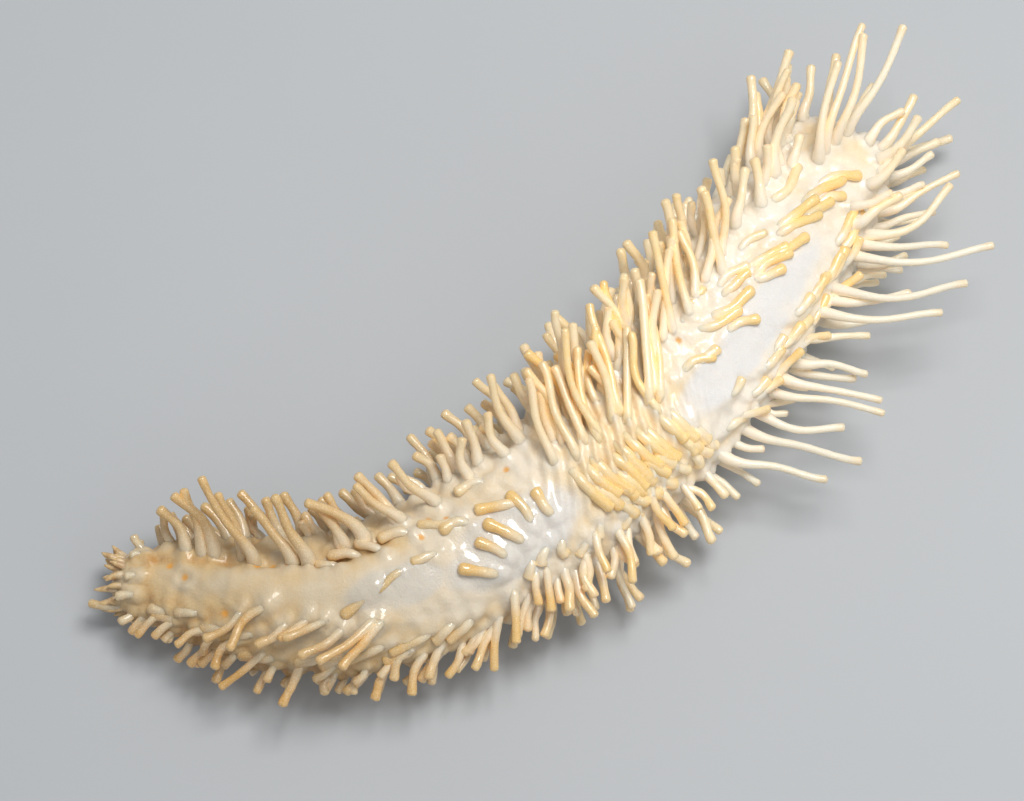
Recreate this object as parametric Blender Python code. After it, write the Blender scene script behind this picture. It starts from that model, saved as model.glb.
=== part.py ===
"""White sea cucumber, a still life-size model lying curved on the floor.

The body is one long curved form in five lengths, each a closed solid that carries its own tube feet.
Every foot follows from a row: where it roots, how long it is and which way it points.
Sizes are in millimetres up to the point where a mesh is made, and a mesh is in metres.
"""
import math
from typing import NamedTuple

import bmesh
import bpy
import numpy as np

MM = 0.001
SEED = 11

# Plan place and half width of the body, from the vent at the tail to the mouth
STATIONS = (
    (-39.9, -19.3, 1.9), (-36.5, -20.1, 2.9), (-31.6, -21.1, 4.3), (-25.9, -22.3, 5.4),
    (-19.6, -22.8, 6.1), (-13.4, -21.5, 6.6), (-7.7, -18.8, 6.8), (-2.2, -15.2, 6.9),
    (3.8, -10.7, 7.2), (9.6, -5.3, 7.5), (15.1, 1.3, 7.6), (19.8, 7.7, 7.4),
    (24.4, 14.4, 6.8), (28.3, 20.4, 5.8), (31.1, 25.4, 4.4),
)
CENTRING = (-0.73, -0.12)     # moves the model so that the middle of its box is over the origin
BACK_SHARE = 0.90         # height of the back over the body's line, as a share of the half width
BELLY_SHARE = 0.78        # depth of the belly under that line
BELLY_CLEAR = 0.9         # the belly's height over the floor, where it stands on its feet
TIP_LIFT = 2.0            # how much higher the line runs where the body is thin
TAIL_ROUND = 2.4          # length over which the tail end rounds off
MOUTH_ROUND = 4.2

# Places of the rings that round off the two ends, from each end inwards
TAIL_RINGS = (0.12, 0.5, 1.2)
MOUTH_RINGS = (1.5, 0.6, 0.12)
RING_SIDES = 20
RING_STEP = 2.6

# The five lengths, with the places along the body where one ends and the next starts
NODES = ("tail_end", "rear_body", "middle_body", "front_body", "mouth_end")
NODE_CUTS = (14.5, 35.0, 54.5, 77.0)
CUT_GAP = 0.34
ROOT_FROM_CUT = 0.9       # least distance from a foot's root to the end of its length

# Tube feet
FOOT_GIRTH = 0.88         # thickness of a plain foot
ROOT_GIRTH = 1.2          # girth of the root and the tip, as shares of the foot's own
TIP_GIRTH = 0.9
SINK = 1.1                # how deep a foot's root lies in the body wall
FOOT_SIDES = 5
PATH_POINTS = 13          # points worked out along each foot
SHORT_FOOT = 4.6          # a foot under this length is straight, unless it lies on the wall
LONG_FOOT = 9.0           # a foot over this length bends twice
LIE_DEPTH = 0.45          # height of a lying foot's middle over the wall, as a share of its radius
PASS_DEPTH = 0.8          # least height of any other foot's middle over the wall, told the same way
RISE_SHARE = 0.25         # share of a foot over which it rises to that height
LYING_BEND = 0.16         # share of a lying foot's length over which it turns from the wall's normal
FREE_BEND = 0.42
STRAIGHT_SHARE = 0.25     # how much of that turn a foot has made where it leaves the wall
CURL = 26                 # degrees that the most curled foot turns along its length
SWAY = 12                 # degrees that the most swaying foot turns one way and back
CUT_MARGIN = 1.25         # radii that a foot keeps from the end of its length
FLOOR_CLEAR = 0.1         # a foot that doesn't stand passes this far over the floor
FREE, LEANS, LIES = 0, 1, 2

# How far the feet of one row differ: a share of their step, degrees, and a share of their girth
ALONG_WOBBLE = 0.42
STRAY_FULL = 13           # a row whose headings differ less than this is also more even in place and curl
AROUND_WOBBLE = 8
PITCH_WOBBLE = 8
GIRTH_WOBBLE = 0.08

# Feet that carry the body
STAND_ROWS = (-40, -16, 16, 40)   # degrees from the middle of the belly
STAND_STEP = 4.2
STAND_SHIFT = 1.05        # how far every second row is moved along
STAND_GIRTH = 1.05
STAND_FROM_TAIL = 2.2
STAND_FROM_MOUTH = 3.4

SLIVER = 0.002            # points nearer than this are joined after a union


class Row(NamedTuple):
    """Tube feet in one row. Each pair runs from the row's tail end to its mouth end."""
    name: str
    along: tuple      # mm from the vent
    around: tuple     # degrees from the back, towards the right flank
    count: int
    length: tuple     # mm
    heading: tuple    # degrees in plan, from +X towards +Y
    pitch: tuple      # degrees above the floor
    way: int = FREE
    girth: float = 1.0
    vary: float = 0.32    # how far lengths differ, as a share
    stray: float = 13     # how far headings differ, in degrees


ROWS = (
    # Tail end
    Row("vent_papillae", (0.3, 1.7), (-150, 150), 10, (1.7, 2.4), (138, 216), (24, -4), FREE, 1.0, 0.2, 8),
    Row("tail_ring", (2.4, 3.4), (-120, 130), 7, (1.6, 2.0), (120, 240), (10, 0)),
    Row("tail_long", (1.9, 1.9), (84, 84), 1, (3.6, 3.6), (176, 176), (4, 4), FREE, 0.9, 0.0, 3),
    # Left flank, tail to mouth
    Row("left_tail_high", (5.0, 18.0), (-36, -30), 6, (6.2, 8.6), (122, 128), (30, 22), FREE, 1.0, 0.26),
    Row("left_tail_low", (4.0, 17.0), (-72, -70), 7, (3.2, 5.4), (118, 126), (14, 12), FREE, 1.0, 0.36, 16),
    Row("left_tail_floor", (5.0, 30.0), (-112, -112), 7, (2.8, 3.6), (128, 140), (0, 0)),
    Row("left_rear_high", (18.5, 34.5), (-32, -46), 7, (6.4, 4.6), (120, 148),
        (26, 22), FREE, 1.0, 0.42, 20),
    Row("left_rear_low", (17.5, 34.5), (-72, -74), 8, (4.6, 3.6), (122, 142), (14, 10), FREE, 1.0, 0.36, 18),
    Row("left_mid_high", (35.5, 54.0), (-52, -38), 10, (4.4, 8.0), (124, 106),
        (24, 26), FREE, 1.0, 0.34, 16),
    Row("left_mid_low", (35.0, 54.0), (-76, -76), 11, (4.6, 4.8), (124, 104), (10, 8), FREE, 1.0, 0.34, 18),
    Row("left_mid_floor", (33.0, 59.0), (-114, -114), 9, (3.6, 4.2), (150, 126), (0, 0)),
    Row("left_front_high", (55.5, 80.0), (-42, -50), 10, (6.4, 5.8), (100, 82),
        (28, 32), FREE, 1.0, 0.3, 12),
    Row("left_front_low", (55.5, 80.0), (-72, -78), 10, (4.6, 4.4), (106, 80),
        (10, 12), FREE, 1.0, 0.34, 14),
    Row("left_front_floor", (60.0, 87.0), (-114, -112), 8, (2.8, 2.8), (118, 92), (0, 0)),
    Row("left_mouth_high", (79.5, 87.0), (-28, -50), 5, (6.0, 8.2), (80, 73), (28, 20), FREE, 1.0, 0.36),
    Row("left_mouth_low", (80.5, 88.5), (-72, -70), 5, (7.0, 8.4), (76, 74), (10, 8), FREE, 1.0, 0.36),
    # Right flank, tail to mouth
    Row("right_tail_high", (6.0, 15.5), (42, 48), 6, (3.4, 4.8), (-156, -148), (0, 0), LIES, 1.0, 0.3, 16),
    Row("right_tail_low", (4.0, 18.0), (78, 78), 7, (2.4, 3.6), (-150, -138),
        (-16, -16), LEANS, 1.0, 0.34, 16),
    Row("right_tail_floor", (5.0, 20.0), (110, 110), 4, (1.6, 2.2), (-128, -122),
        (0, 0), FREE, 1.0, 0.3, 14),
    Row("right_rear_top", (13.5, 26.5), (18, 30), 8, (5.2, 5.8), (-138, -150), (0, 0), LEANS, 1.0, 0.3, 14),
    Row("right_rear_high", (17.0, 34.0), (58, 64), 9, (4.8, 4.8), (-146, -124),
        (-6, -6), LIES, 1.0, 0.28, 16),
    Row("right_rear_low", (19.0, 35.0), (82, 84), 9, (2.4, 4.8), (-140, -106),
        (-20, -12), LEANS, 1.0, 0.32, 16),
    Row("right_rear_floor", (20.0, 36.0), (110, 112), 6, (1.8, 4.2), (-114, -96),
        (0, 0), FREE, 1.0, 0.3, 14),
    Row("right_mid_high", (35.0, 53.0), (56, 62), 10, (4.8, 4.6), (-98, -56),
        (-12, -12), LEANS, 1.0, 0.3, 15),
    Row("right_mid_low", (35.5, 56.0), (84, 84), 11, (4.2, 4.8), (-100, -44), (-6, -4), FREE, 1.0, 0.34, 18),
    Row("right_mid_floor", (37.0, 57.0), (110, 110), 7, (4.2, 5.4), (-96, -34), (0, 0), FREE, 0.9, 0.4, 18),
    Row("right_front_back", (58.0, 80.0), (60, 58), 9, (3.8, 4.8), (48, 60), (0, 0), LIES, 1.0, 0.26, 15),
    Row("right_front_fringe", (57.0, 80.5), (80, 70), 11, (8.8, 11.0), (-16, 12),
        (2, 6), FREE, 0.84, 0.4, 9),
    Row("right_front_floor", (57.0, 81.5), (98, 98), 7, (4.2, 5.6), (-24, 16), (0, 0), FREE, 0.8, 0.4, 14),
    Row("right_mouth_high", (81.5, 90.0), (46, 44), 5, (5.0, 6.8), (18, 46), (12, 14), FREE, 0.9, 0.36),
    Row("right_mouth_fringe", (80.5, 89.5), (74, 72), 6, (9.6, 6.4), (14, 34), (4, 6), FREE, 0.84, 0.36, 12),
    # Back
    Row("back_rear", (25.0, 41.5), (6, 0), 5, (3.8, 4.4), (-118, -186), (0, 0), LIES, 1.0, 0.26, 16),
    Row("back_bare_patch", (34.5, 43.0), (44, 20), 5, (4.4, 4.2), (176, 114), (0, 0), LIES, 1.0, 0.2, 9),
    Row("crest_long", (44.5, 57.5), (-14, 8), 8, (9.6, 10.8), (118, 92), (10, 8), LEANS, 0.95, 0.26, 11),
    Row("fold_near", (46.2, 57.6), (16, 36), 9, (6.0, 5.8), (-40, -36), (0, 0), LIES, 1.1, 0.1, 4),
    Row("fold_crest", (45.6, 57.0), (-6, 14), 10, (7.8, 7.6), (-43, -38), (0, 0), LIES, 1.1, 0.08, 4),
    Row("fold_low", (47.0, 58.0), (40, 56), 8, (5.4, 5.2), (-44, -32), (0, 0), LIES, 1.1, 0.18, 6),
    Row("front_long", (58.5, 72.0), (-12, -16), 8, (9.0, 8.6), (96, 88), (14, 18), LEANS, 0.95, 0.24, 9),
    Row("back_front_left", (59.0, 83.0), (2, -4), 10, (4.6, 6.6), (44, 26), (0, 0), LIES, 1.0, 0.28, 14),
    Row("back_front_far", (74.0, 84.0), (-24, -22), 3, (5.2, 5.4), (84, 74), (14, 20)),
    Row("mouth_top", (85.0, 90.0), (-10, 2), 4, (11.4, 11.0), (84, 58), (12, 10), FREE, 0.9, 0.24, 9),
    Row("mouth_ring", (88.6, 91.4), (-100, 118), 10, (6.4, 8.2), (96, 22), (2, 4), FREE, 0.95, 0.32, 11),
)

# Colour of each length, a little warmer where the feet are denser
COLOURS = {
    "tail_end": (0.80, 0.66, 0.48), "rear_body": (0.82, 0.70, 0.53), "middle_body": (0.84, 0.68, 0.47),
    "front_body": (0.84, 0.73, 0.58), "mouth_end": (0.86, 0.75, 0.60),
}


# Body line and wall

class Body:
    """The body's line and its half width, read by the distance along the line from the vent."""

    def __init__(self):
        knots = np.array(STATIONS, float)
        knots[:, :2] += CENTRING
        chord = np.r_[0, np.cumsum(np.linalg.norm(np.diff(knots[:, :2], axis=0), axis=1))]
        slope = np.gradient(knots, chord, axis=0)
        fine = np.linspace(0, chord[-1], 700)
        k = np.clip(np.searchsorted(chord, fine, side="right") - 1, 0, len(chord) - 2)
        span = (chord[k + 1] - chord[k])[:, None]
        t = (fine - chord[k])[:, None] / span
        line = ((2 * t**3 - 3 * t**2 + 1) * knots[k] + (t**3 - 2 * t**2 + t) * span * slope[k]
                + (3 * t**2 - 2 * t**3) * knots[k + 1] + (t**3 - t**2) * span * slope[k + 1])
        step = np.linalg.norm(np.diff(line[:, :2], axis=0), axis=1)
        self.along = np.r_[0, np.cumsum(step)]
        self.length = self.along[-1]
        tail = np.clip(self.along / TAIL_ROUND, 0, 1)
        mouth = np.clip((self.length - self.along) / MOUTH_ROUND, 0, 1)
        self.wide = line[:, 2] * np.sqrt(1 - (1 - tail)**2) * np.sqrt(1 - (1 - mouth)**2)
        lift = TIP_LIFT * (1 - self.wide / self.wide.max())**2
        self.centre = np.c_[line[:, :2], BELLY_CLEAR + BELLY_SHARE * self.wide + lift]
        flat = np.gradient(line[:, :2], self.along, axis=0)
        flat /= np.linalg.norm(flat, axis=1)[:, None]
        self.tangent = np.c_[flat, np.zeros(len(flat))]
        self.side = np.c_[flat[:, 1], -flat[:, 0], np.zeros(len(flat))]
        self.slope = np.gradient(self.wide, self.along)

    def read(self, values, along):
        """Values of one of the arrays at distances along the line."""
        if values.ndim == 1:
            return np.interp(along, self.along, values)
        return np.stack([np.interp(along, self.along, column) for column in values.T], -1)

    def skin(self, along, around):
        """Wall points and outward normals, for angles in radians from the back."""
        centre, side, tangent = (self.read(v, along) for v in (self.centre, self.side, self.tangent))
        wide, slope = self.read(self.wide, along)[..., None], self.read(self.slope, along)[..., None]
        s, c = np.sin(around)[..., None], np.cos(around)[..., None]
        share = np.where(c > 0, BACK_SHARE, BELLY_SHARE)
        up = np.array([0, 0, 1.0])
        point = centre + side * wide * s + up * wide * share * c
        normal = side * s + up * c / share - tangent * np.clip(slope, -3, 3)
        return point, normal / np.linalg.norm(normal, axis=-1, keepdims=True)

    def local(self, points):
        """The nearest place on the line for each point, and its offsets to the side, up and ahead."""
        near = ((points[:, None, :2] - self.centre[None, :, :2])**2).sum(-1).argmin(1)
        off = points - self.centre[near]
        return near, (off * self.side[near]).sum(-1), off[:, 2], (off * self.tangent[near]).sum(-1)

    def cut_plane(self, cut):
        """A point and the unit normal of the plane that parts two lengths."""
        tangent = self.read(self.tangent, cut)
        return self.read(self.centre, cut), tangent / np.linalg.norm(tangent)


def section(centre, side, wide):
    """One closed ring of the wall, half an ellipse over the line and a flatter half under it."""
    around = 2 * math.pi * np.arange(RING_SIDES) / RING_SIDES
    share = np.where(np.cos(around) > 0, BACK_SHARE, BELLY_SHARE)
    up = np.array([0, 0, 1.0])
    return centre + side * (wide * np.sin(around))[:, None] + up * (wide * share * np.cos(around))[:, None]


def length_rings(body, index):
    """Rings of one length of the body, square to the line, flat at the planes that part it."""
    low = NODE_CUTS[index - 1] if index > 0 else 0.0
    high = NODE_CUTS[index] if index < len(NODE_CUTS) else body.length
    places = list(np.linspace(low, high, max(4, round((high - low) / RING_STEP)) + 1))
    if index == 0:
        places[:1] = TAIL_RINGS
    if index == len(NODE_CUTS):
        places[-1:] = [high - back for back in MOUTH_RINGS]
    rings = []
    for place in places:
        centre, side = body.read(body.centre, place), body.read(body.side, place)
        side = side / np.linalg.norm(side)
        ahead = body.cut_plane(place)[1]
        if place == low and index > 0:
            centre = centre + ahead * CUT_GAP / 2
        if place == high and index < len(NODE_CUTS):
            centre = centre - ahead * CUT_GAP / 2
        rings.append(section(centre, side, body.read(body.wide, place)))
    return rings


# Tube feet

def ends(pair, share):
    """Values that run evenly from the first of a pair to the second."""
    return pair[0] + (pair[1] - pair[0]) * share


def feet_table(rng):
    """Along, around, length, heading, pitch, curl, sway, way and girth of every foot, row by row."""
    out = []
    for row in ROWS:
        share = (np.arange(row.count) + 0.5) / row.count
        wobble = rng.uniform(-1, 1, (row.count, 6))
        wobble[:, [0, 1, 5]] *= min(1, row.stray / STRAY_FULL)
        step = abs(row.along[1] - row.along[0]) / row.count
        out.append(np.c_[
            ends(row.along, share) + wobble[:, 0] * ALONG_WOBBLE * step,
            ends(row.around, share) + wobble[:, 1] * AROUND_WOBBLE,
            ends(row.length, share) * (1 + row.vary * wobble[:, 2]),
            ends(row.heading, share) + wobble[:, 3] * row.stray,
            ends(row.pitch, share) + wobble[:, 4] * PITCH_WOBBLE,
            wobble[:, 5],
            wobble[:, 1],
            np.full(row.count, float(row.way)),
            row.girth * FOOT_GIRTH * (1 + GIRTH_WOBBLE * wobble[:, 5]),
        ])
    return np.concatenate(out)


def unit(vectors):
    """The vectors at length one."""
    return vectors / np.linalg.norm(vectors, axis=-1, keepdims=True)


def foot_paths(body, table):
    """Root, wall normal, points and length number of every foot. It leaves along the normal and bends."""
    along, around, length, heading, pitch, curl, sway, way, girth = table.T
    node = np.searchsorted(NODE_CUTS, along)
    low, high = np.r_[0, NODE_CUTS][node], np.r_[NODE_CUTS, body.length][node]
    along = np.clip(along, low + np.where(node > 0, ROOT_FROM_CUT, 0.05),
                    high - np.where(node < len(NODE_CUTS), ROOT_FROM_CUT, 0.05))
    root, normal = body.skin(along, np.radians(around))
    t = np.linspace(0, 1, PATH_POINTS)
    mid = (t[1:] + t[:-1]) / 2
    bend = np.clip(mid / np.where(way > 0, LYING_BEND, FREE_BEND)[:, None], 0, 1)
    bend = (STRAIGHT_SHARE + (1 - STRAIGHT_SHARE) * bend**2 * (3 - 2 * bend))[..., None]
    turn = np.radians(heading[:, None] + CURL * curl[:, None] * (mid - 0.3)
                      + SWAY * sway[:, None] * np.sin(2 * math.pi * mid))
    rise = np.radians(pitch)[:, None]
    goal = np.stack([np.cos(rise) * np.cos(turn), np.cos(rise) * np.sin(turn),
                     np.broadcast_to(np.sin(rise), turn.shape)], -1)
    steps = unit(normal[:, None] * (1 - bend) + goal * bend) * (length / (PATH_POINTS - 1))[:, None, None]
    path = np.concatenate([root[:, None], root[:, None] + np.cumsum(steps, 1)], 1)
    radius = girth / 2
    for _ in range(3):
        path = off_wall(body, path, radius, way == LIES)
        path[..., 2] = np.maximum(path[..., 2], radius[:, None] + FLOOR_CLEAR)
    return root, normal, clear_of_cuts(body, path, node, radius), node


def off_wall(body, path, radius, lies):
    """Moves points out of the body wall, and those of a lying foot down to it."""
    feet, count, _ = path.shape
    near, x, z, ahead = body.local(path.reshape(-1, 3))
    wide = np.maximum(body.wide[near], 0.05)
    deep = wide * np.where(z > 0, BACK_SHARE, BELLY_SHARE)
    radius, lies = np.repeat(radius, count), np.repeat(lies, count)
    t = np.tile(np.linspace(0, 1, count), feet)
    out = np.sqrt((x / wide)**2 + (z / deep)**2)
    depth = np.where(lies, LIE_DEPTH, PASS_DEPTH)
    want = 1 + depth * radius * np.clip(t / RISE_SHARE, 0, 1) / np.minimum(wide, deep)
    scale = np.where((out < want) | lies, want / np.maximum(out, 1e-3), 1)
    past_the_end = (near == 0) | (near == len(body.along) - 1)
    scale = np.where(past_the_end | (t == 0), 1, np.clip(scale, 0.5, 3))
    moved = body.centre[near] + body.side[near] * (x * scale)[:, None] + body.tangent[near] * ahead[:, None]
    moved[:, 2] += z * scale
    return moved.reshape(feet, count, 3)


def clear_of_cuts(body, path, node, radius):
    """Bends each foot clear of the planes that part its length of the body from the next."""
    for i, cut in enumerate(NODE_CUTS):
        centre, ahead = body.cut_plane(cut)
        past = (path - centre) @ ahead
        margin = (radius * CUT_MARGIN + CUT_GAP / 2)[:, None]
        over = np.where((node == i)[:, None], np.maximum(past + margin, 0), 0)
        under = np.where((node == i + 1)[:, None], np.minimum(past - margin, 0), 0)
        path = path - (over + under)[..., None] * ahead
    return path


def tube(points, radii):
    """Rings of a tube along a few points, each ring square to the path there."""
    points = np.array(points)
    leg = unit(np.diff(points, axis=0))
    facing = unit(np.concatenate([leg[:1], unit(leg[1:] + leg[:-1]), leg[-1:]]))
    across = np.cross(facing[0], [0.3, 0.2, 0.93])
    turn = 2 * math.pi * np.arange(FOOT_SIDES) / FOOT_SIDES
    rings = []
    for point, ahead, radius in zip(points, facing, radii):
        across = unit(across - ahead * (across @ ahead))
        other = np.cross(ahead, across)
        rings.append(point + radius * (np.cos(turn)[:, None] * across + np.sin(turn)[:, None] * other))
    return rings


def foot_rings(root, normal, path, length, radius, lies):
    """A foot from its sunk root to its tip, thicker at the root."""
    stops = (12,) if length < SHORT_FOOT and not lies else (5, 12) if length < LONG_FOOT else (4, 8, 12)
    points = [root - normal * SINK] + [path[i] for i in stops]
    radii = [radius * ROOT_GIRTH] + [radius] * (len(stops) - 1) + [radius * TIP_GIRTH]
    return tube(points, radii)


def standing_feet(body, index):
    """Short feet under one length, each ending in a flat disc on the floor."""
    low = NODE_CUTS[index - 1] if index > 0 else STAND_FROM_TAIL
    high = NODE_CUTS[index] if index < len(NODE_CUTS) else body.length - STAND_FROM_MOUTH
    count = max(2, round((high - low - 2 * ROOT_FROM_CUT) / STAND_STEP) + 1)
    turn = 2 * math.pi * np.arange(FOOT_SIDES) / FOOT_SIDES
    disc = np.c_[np.cos(turn), np.sin(turn), np.zeros(FOOT_SIDES)]
    out = []
    for row, around in enumerate(STAND_ROWS):
        places = np.linspace(low + ROOT_FROM_CUT, high - ROOT_FROM_CUT, count)
        shift = STAND_SHIFT if row % 2 else 0.0
        for place in np.clip(places + shift, low + ROOT_FROM_CUT, high - ROOT_FROM_CUT):
            root = body.skin(place, np.radians(180.0 - around))[0]
            top = root + np.array([0, 0, SINK])
            foot = np.array([root[0], root[1], 0.0])
            out.append([top + disc * STAND_GIRTH / 2, foot + disc * STAND_GIRTH / 2])
    return out


# Meshes

def closed_mesh(name, rings):
    """A closed object through rings of points, with a flat face at each end."""
    mesh = bpy.data.meshes.new(name)
    points = np.concatenate(rings) * MM
    sides, count = len(rings[0]), len(rings)
    faces = [tuple(range(sides - 1, -1, -1)), tuple(range((count - 1) * sides, count * sides))]
    for ring in range(count - 1):
        for i in range(sides):
            a, b = ring * sides + i, ring * sides + (i + 1) % sides
            faces.append((a, b, b + sides, a + sides))
    mesh.from_pydata([tuple(p) for p in points], [], faces)
    shape = bmesh.new()
    shape.from_mesh(mesh)
    bmesh.ops.recalc_face_normals(shape, faces=shape.faces)
    bmesh.ops.triangulate(shape, faces=shape.faces)
    shape.to_mesh(mesh)
    shape.free()
    piece = bpy.data.objects.new(name, mesh)
    bpy.context.scene.collection.objects.link(piece)
    return piece


def fuse(body_piece, feet):
    """Joins the feet to their length of the body in one union, then removes them."""
    group = bpy.data.collections.new(body_piece.name + "_feet")
    for foot in feet:
        bpy.context.scene.collection.objects.unlink(foot)
        group.objects.link(foot)
    union = body_piece.modifiers.new("feet", "BOOLEAN")
    union.operation = "UNION"
    union.operand_type = "COLLECTION"
    union.collection = group
    union.solver = "EXACT"
    union.use_self = False
    bpy.context.view_layer.objects.active = body_piece
    bpy.ops.object.modifier_apply(modifier=union.name)
    for foot in list(group.objects):
        bpy.data.objects.remove(foot)
    bpy.data.collections.remove(group)


def keep_largest(piece):
    """Joins points that all but meet, keeps the closed surface with the largest box and drops the rest."""
    shape = bmesh.new()
    shape.from_mesh(piece.data)
    bmesh.ops.dissolve_degenerate(shape, dist=SLIVER * MM, edges=shape.edges)
    bmesh.ops.triangulate(shape, faces=shape.faces)
    left, shells = set(shape.faces), []
    while left:
        waiting = [left.pop()]
        shell = list(waiting)
        while waiting:
            face = waiting.pop()
            for edge in face.edges:
                for other in edge.link_faces:
                    if other in left:
                        left.discard(other)
                        waiting.append(other)
                        shell.append(other)
        shells.append(shell)

    def box_size(shell):
        points = np.array([v.co[:] for face in shell for v in face.verts])
        return np.prod(points.max(0) - points.min(0))

    shells.sort(key=box_size)
    spare = [face for shell in shells[:-1] for face in shell]
    bmesh.ops.delete(shape, geom=spare, context="FACES")
    shape.to_mesh(piece.data)
    shape.free()


def give_material(piece, colour):
    """A moist skin finish for one length."""
    material = bpy.data.materials.new(piece.name + "_skin")
    material.use_nodes = True
    finish = material.node_tree.nodes["Principled BSDF"]
    finish.inputs["Base Color"].default_value = (*colour, 1)
    finish.inputs["Roughness"].default_value = 0.35
    piece.data.materials.clear()
    piece.data.materials.append(material)


def build():
    """Makes the five lengths with their feet."""
    for old in list(bpy.data.objects):
        bpy.data.objects.remove(old)
    body = Body()
    table = feet_table(np.random.default_rng(SEED))
    roots, normals, paths, node = foot_paths(body, table)
    for index, name in enumerate(NODES):
        piece = closed_mesh(name, length_rings(body, index))
        feet = [foot_rings(roots[k], normals[k], paths[k], table[k, 2], table[k, 8] / 2, table[k, 7] == LIES)
                for k in np.flatnonzero(node == index)]
        feet += standing_feet(body, index)
        fuse(piece, [closed_mesh("foot", rings) for rings in feet])
        keep_largest(piece)
        give_material(piece, COLOURS[name])


build()
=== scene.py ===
"""The white sea cucumber's looks: one moist skin over the body, and tube feet that stand, lean and lie.

Lengths are in millimetres up to the point where a mesh is made, and a mesh is in metres.
"""
import math
from typing import NamedTuple

import bpy
import numpy as np
from mathutils import Matrix


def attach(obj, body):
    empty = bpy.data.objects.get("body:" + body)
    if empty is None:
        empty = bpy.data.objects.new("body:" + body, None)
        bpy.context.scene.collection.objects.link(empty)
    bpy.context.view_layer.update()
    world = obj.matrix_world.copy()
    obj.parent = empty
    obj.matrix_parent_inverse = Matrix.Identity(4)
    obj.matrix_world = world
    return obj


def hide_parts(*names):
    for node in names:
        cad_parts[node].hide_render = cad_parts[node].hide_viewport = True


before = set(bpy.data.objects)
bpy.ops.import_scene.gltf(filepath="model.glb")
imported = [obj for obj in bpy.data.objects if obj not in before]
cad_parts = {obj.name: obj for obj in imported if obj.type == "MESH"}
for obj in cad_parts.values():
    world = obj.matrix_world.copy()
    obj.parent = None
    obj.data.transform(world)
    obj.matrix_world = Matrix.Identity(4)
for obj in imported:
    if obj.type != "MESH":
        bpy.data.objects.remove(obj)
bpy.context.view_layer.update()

MM = 0.001
SEED = 11                 # for the rows of feet that the solids also have
FILL_SEED = 29            # for the rows between them
SHAPE_SEED = 30           # for how each foot's thickness changes, and for the belly's feet
SKIN_SEED = 5

# Plan place and half width of the body, from the vent at the tail to the mouth
STATIONS = (
    (-39.9, -19.3, 1.9), (-36.5, -20.1, 2.9), (-31.6, -21.1, 4.3), (-25.9, -22.3, 5.4),
    (-19.6, -22.8, 6.1), (-13.4, -21.5, 6.6), (-7.7, -18.8, 6.8), (-2.2, -15.2, 6.9),
    (3.8, -10.7, 7.2), (9.6, -5.3, 7.5), (15.1, 1.3, 7.6), (19.8, 7.7, 7.4),
    (24.4, 14.4, 6.8), (28.3, 20.4, 5.8), (31.1, 25.4, 4.4),
)
CENTRING = (-0.73, -0.12)  # moves the model so that the middle of its box is over the origin
BACK_SHARE = 0.90         # height of the back over the body's line, as a share of the half width
BELLY_SHARE = 0.78        # depth of the belly under that line
BELLY_CLEAR = 0.9         # the belly's height over the floor, where it stands on its feet
TIP_LIFT = 2.0            # how much higher the line runs where the body is thin
TAIL_ROUND = 2.4          # length over which the tail end rounds off
MOUTH_ROUND = 4.2
LINE_POINTS = 700         # points worked out along the line
STEEPEST = 3              # steepest slope of the half width that turns a normal
LEAST_WIDE = 0.05         # half width that stands for the nought at each end
BLOCK = 4000              # points set against the line at one time, to spare memory

NODES = ("tail_end", "rear_body", "middle_body", "front_body", "mouth_end")
NODE_CUTS = (14.5, 35.0, 54.5, 77.0)   # where one solid ends and the next begins, from the vent
ROOT_FROM_CUT = 0.9       # least distance of a foot's root from such a place
ROOT_FROM_END = 0.05      # and from the vent and the mouth

FREE, LEANS, LIES = 0, 1, 2     # a foot stands out freely, leans over the wall or lies on it
FOOT_GIRTH = 0.88         # thickness of a plain foot
PATH_POINTS = 13          # points worked out along each foot
LIE_DEPTH = 0.62          # height of a lying foot's middle over the wall, as a share of its radius
PASS_DEPTH = 0.8          # least height of any other foot's middle over the wall, told the same way
RISE_SHARE = 0.25         # share of a foot over which it rises to that height
BURIED_RISE = 0.5         # how much longer that share is for each radius that the root is buried
BURIED = (0.6, 1.5, 1.7)  # depth in the wall of a free, leaning and lying foot's root, in radii
LYING_BEND = 0.16         # share of a leaning or lying foot over which it turns from the wall's normal
FREE_BEND = 0.42
STRAIGHT_SHARE = 0.25     # how much of that turn a foot has made where it leaves the wall
CURL = 36                 # degrees that the most curled foot turns along its length
CURL_MIDDLE = 0.3         # share of its length at which it has its row's heading
SWAY = 22                 # degrees that the most swaying foot turns one way and back
FLOOR_CLEAR = 0.1         # a foot that doesn't stand passes this far over the floor
WALL_PASSES = 3           # times that a foot's points are moved out of the wall
MOVE_LIMITS = (0.5, 3)    # least and most that a pass scales a point's distance from the line
TINY = 1e-3

# How far the feet of one row differ: a share of their step, degrees, and shares of their girth and tint
ALONG_WOBBLE = 0.42
AROUND_WOBBLE = 8
PITCH_WOBBLE = 8
GIRTH_WOBBLE = 0.08
TINT_WOBBLE = 0.16
STRAY_FULL = 13           # a row whose headings differ less than this is also more even in place and curl

# Feet under the belly
STAND_ROWS = (-52, -40, -28, -16, 0, 16, 28, 40, 52)   # degrees from the middle of the belly
STAND_STEP = 2.9
STAND_ENDS = (2.6, 3.6)   # distance of the first and last foot of a row from the vent and the mouth
STAND_LAST = 2.5          # no root is nearer to the mouth than this
STAND_HIGHEST = 5.0       # a foot whose root is higher than this is left out
STAND_GIRTH = 1.05
STAND_GIRTH_VARY = (0.8, 1.1)
STAND_STRAY = 0.5         # how far a foot is from its even place
STAND_LEAN = 0.35         # how far its disc is from under its root
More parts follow.
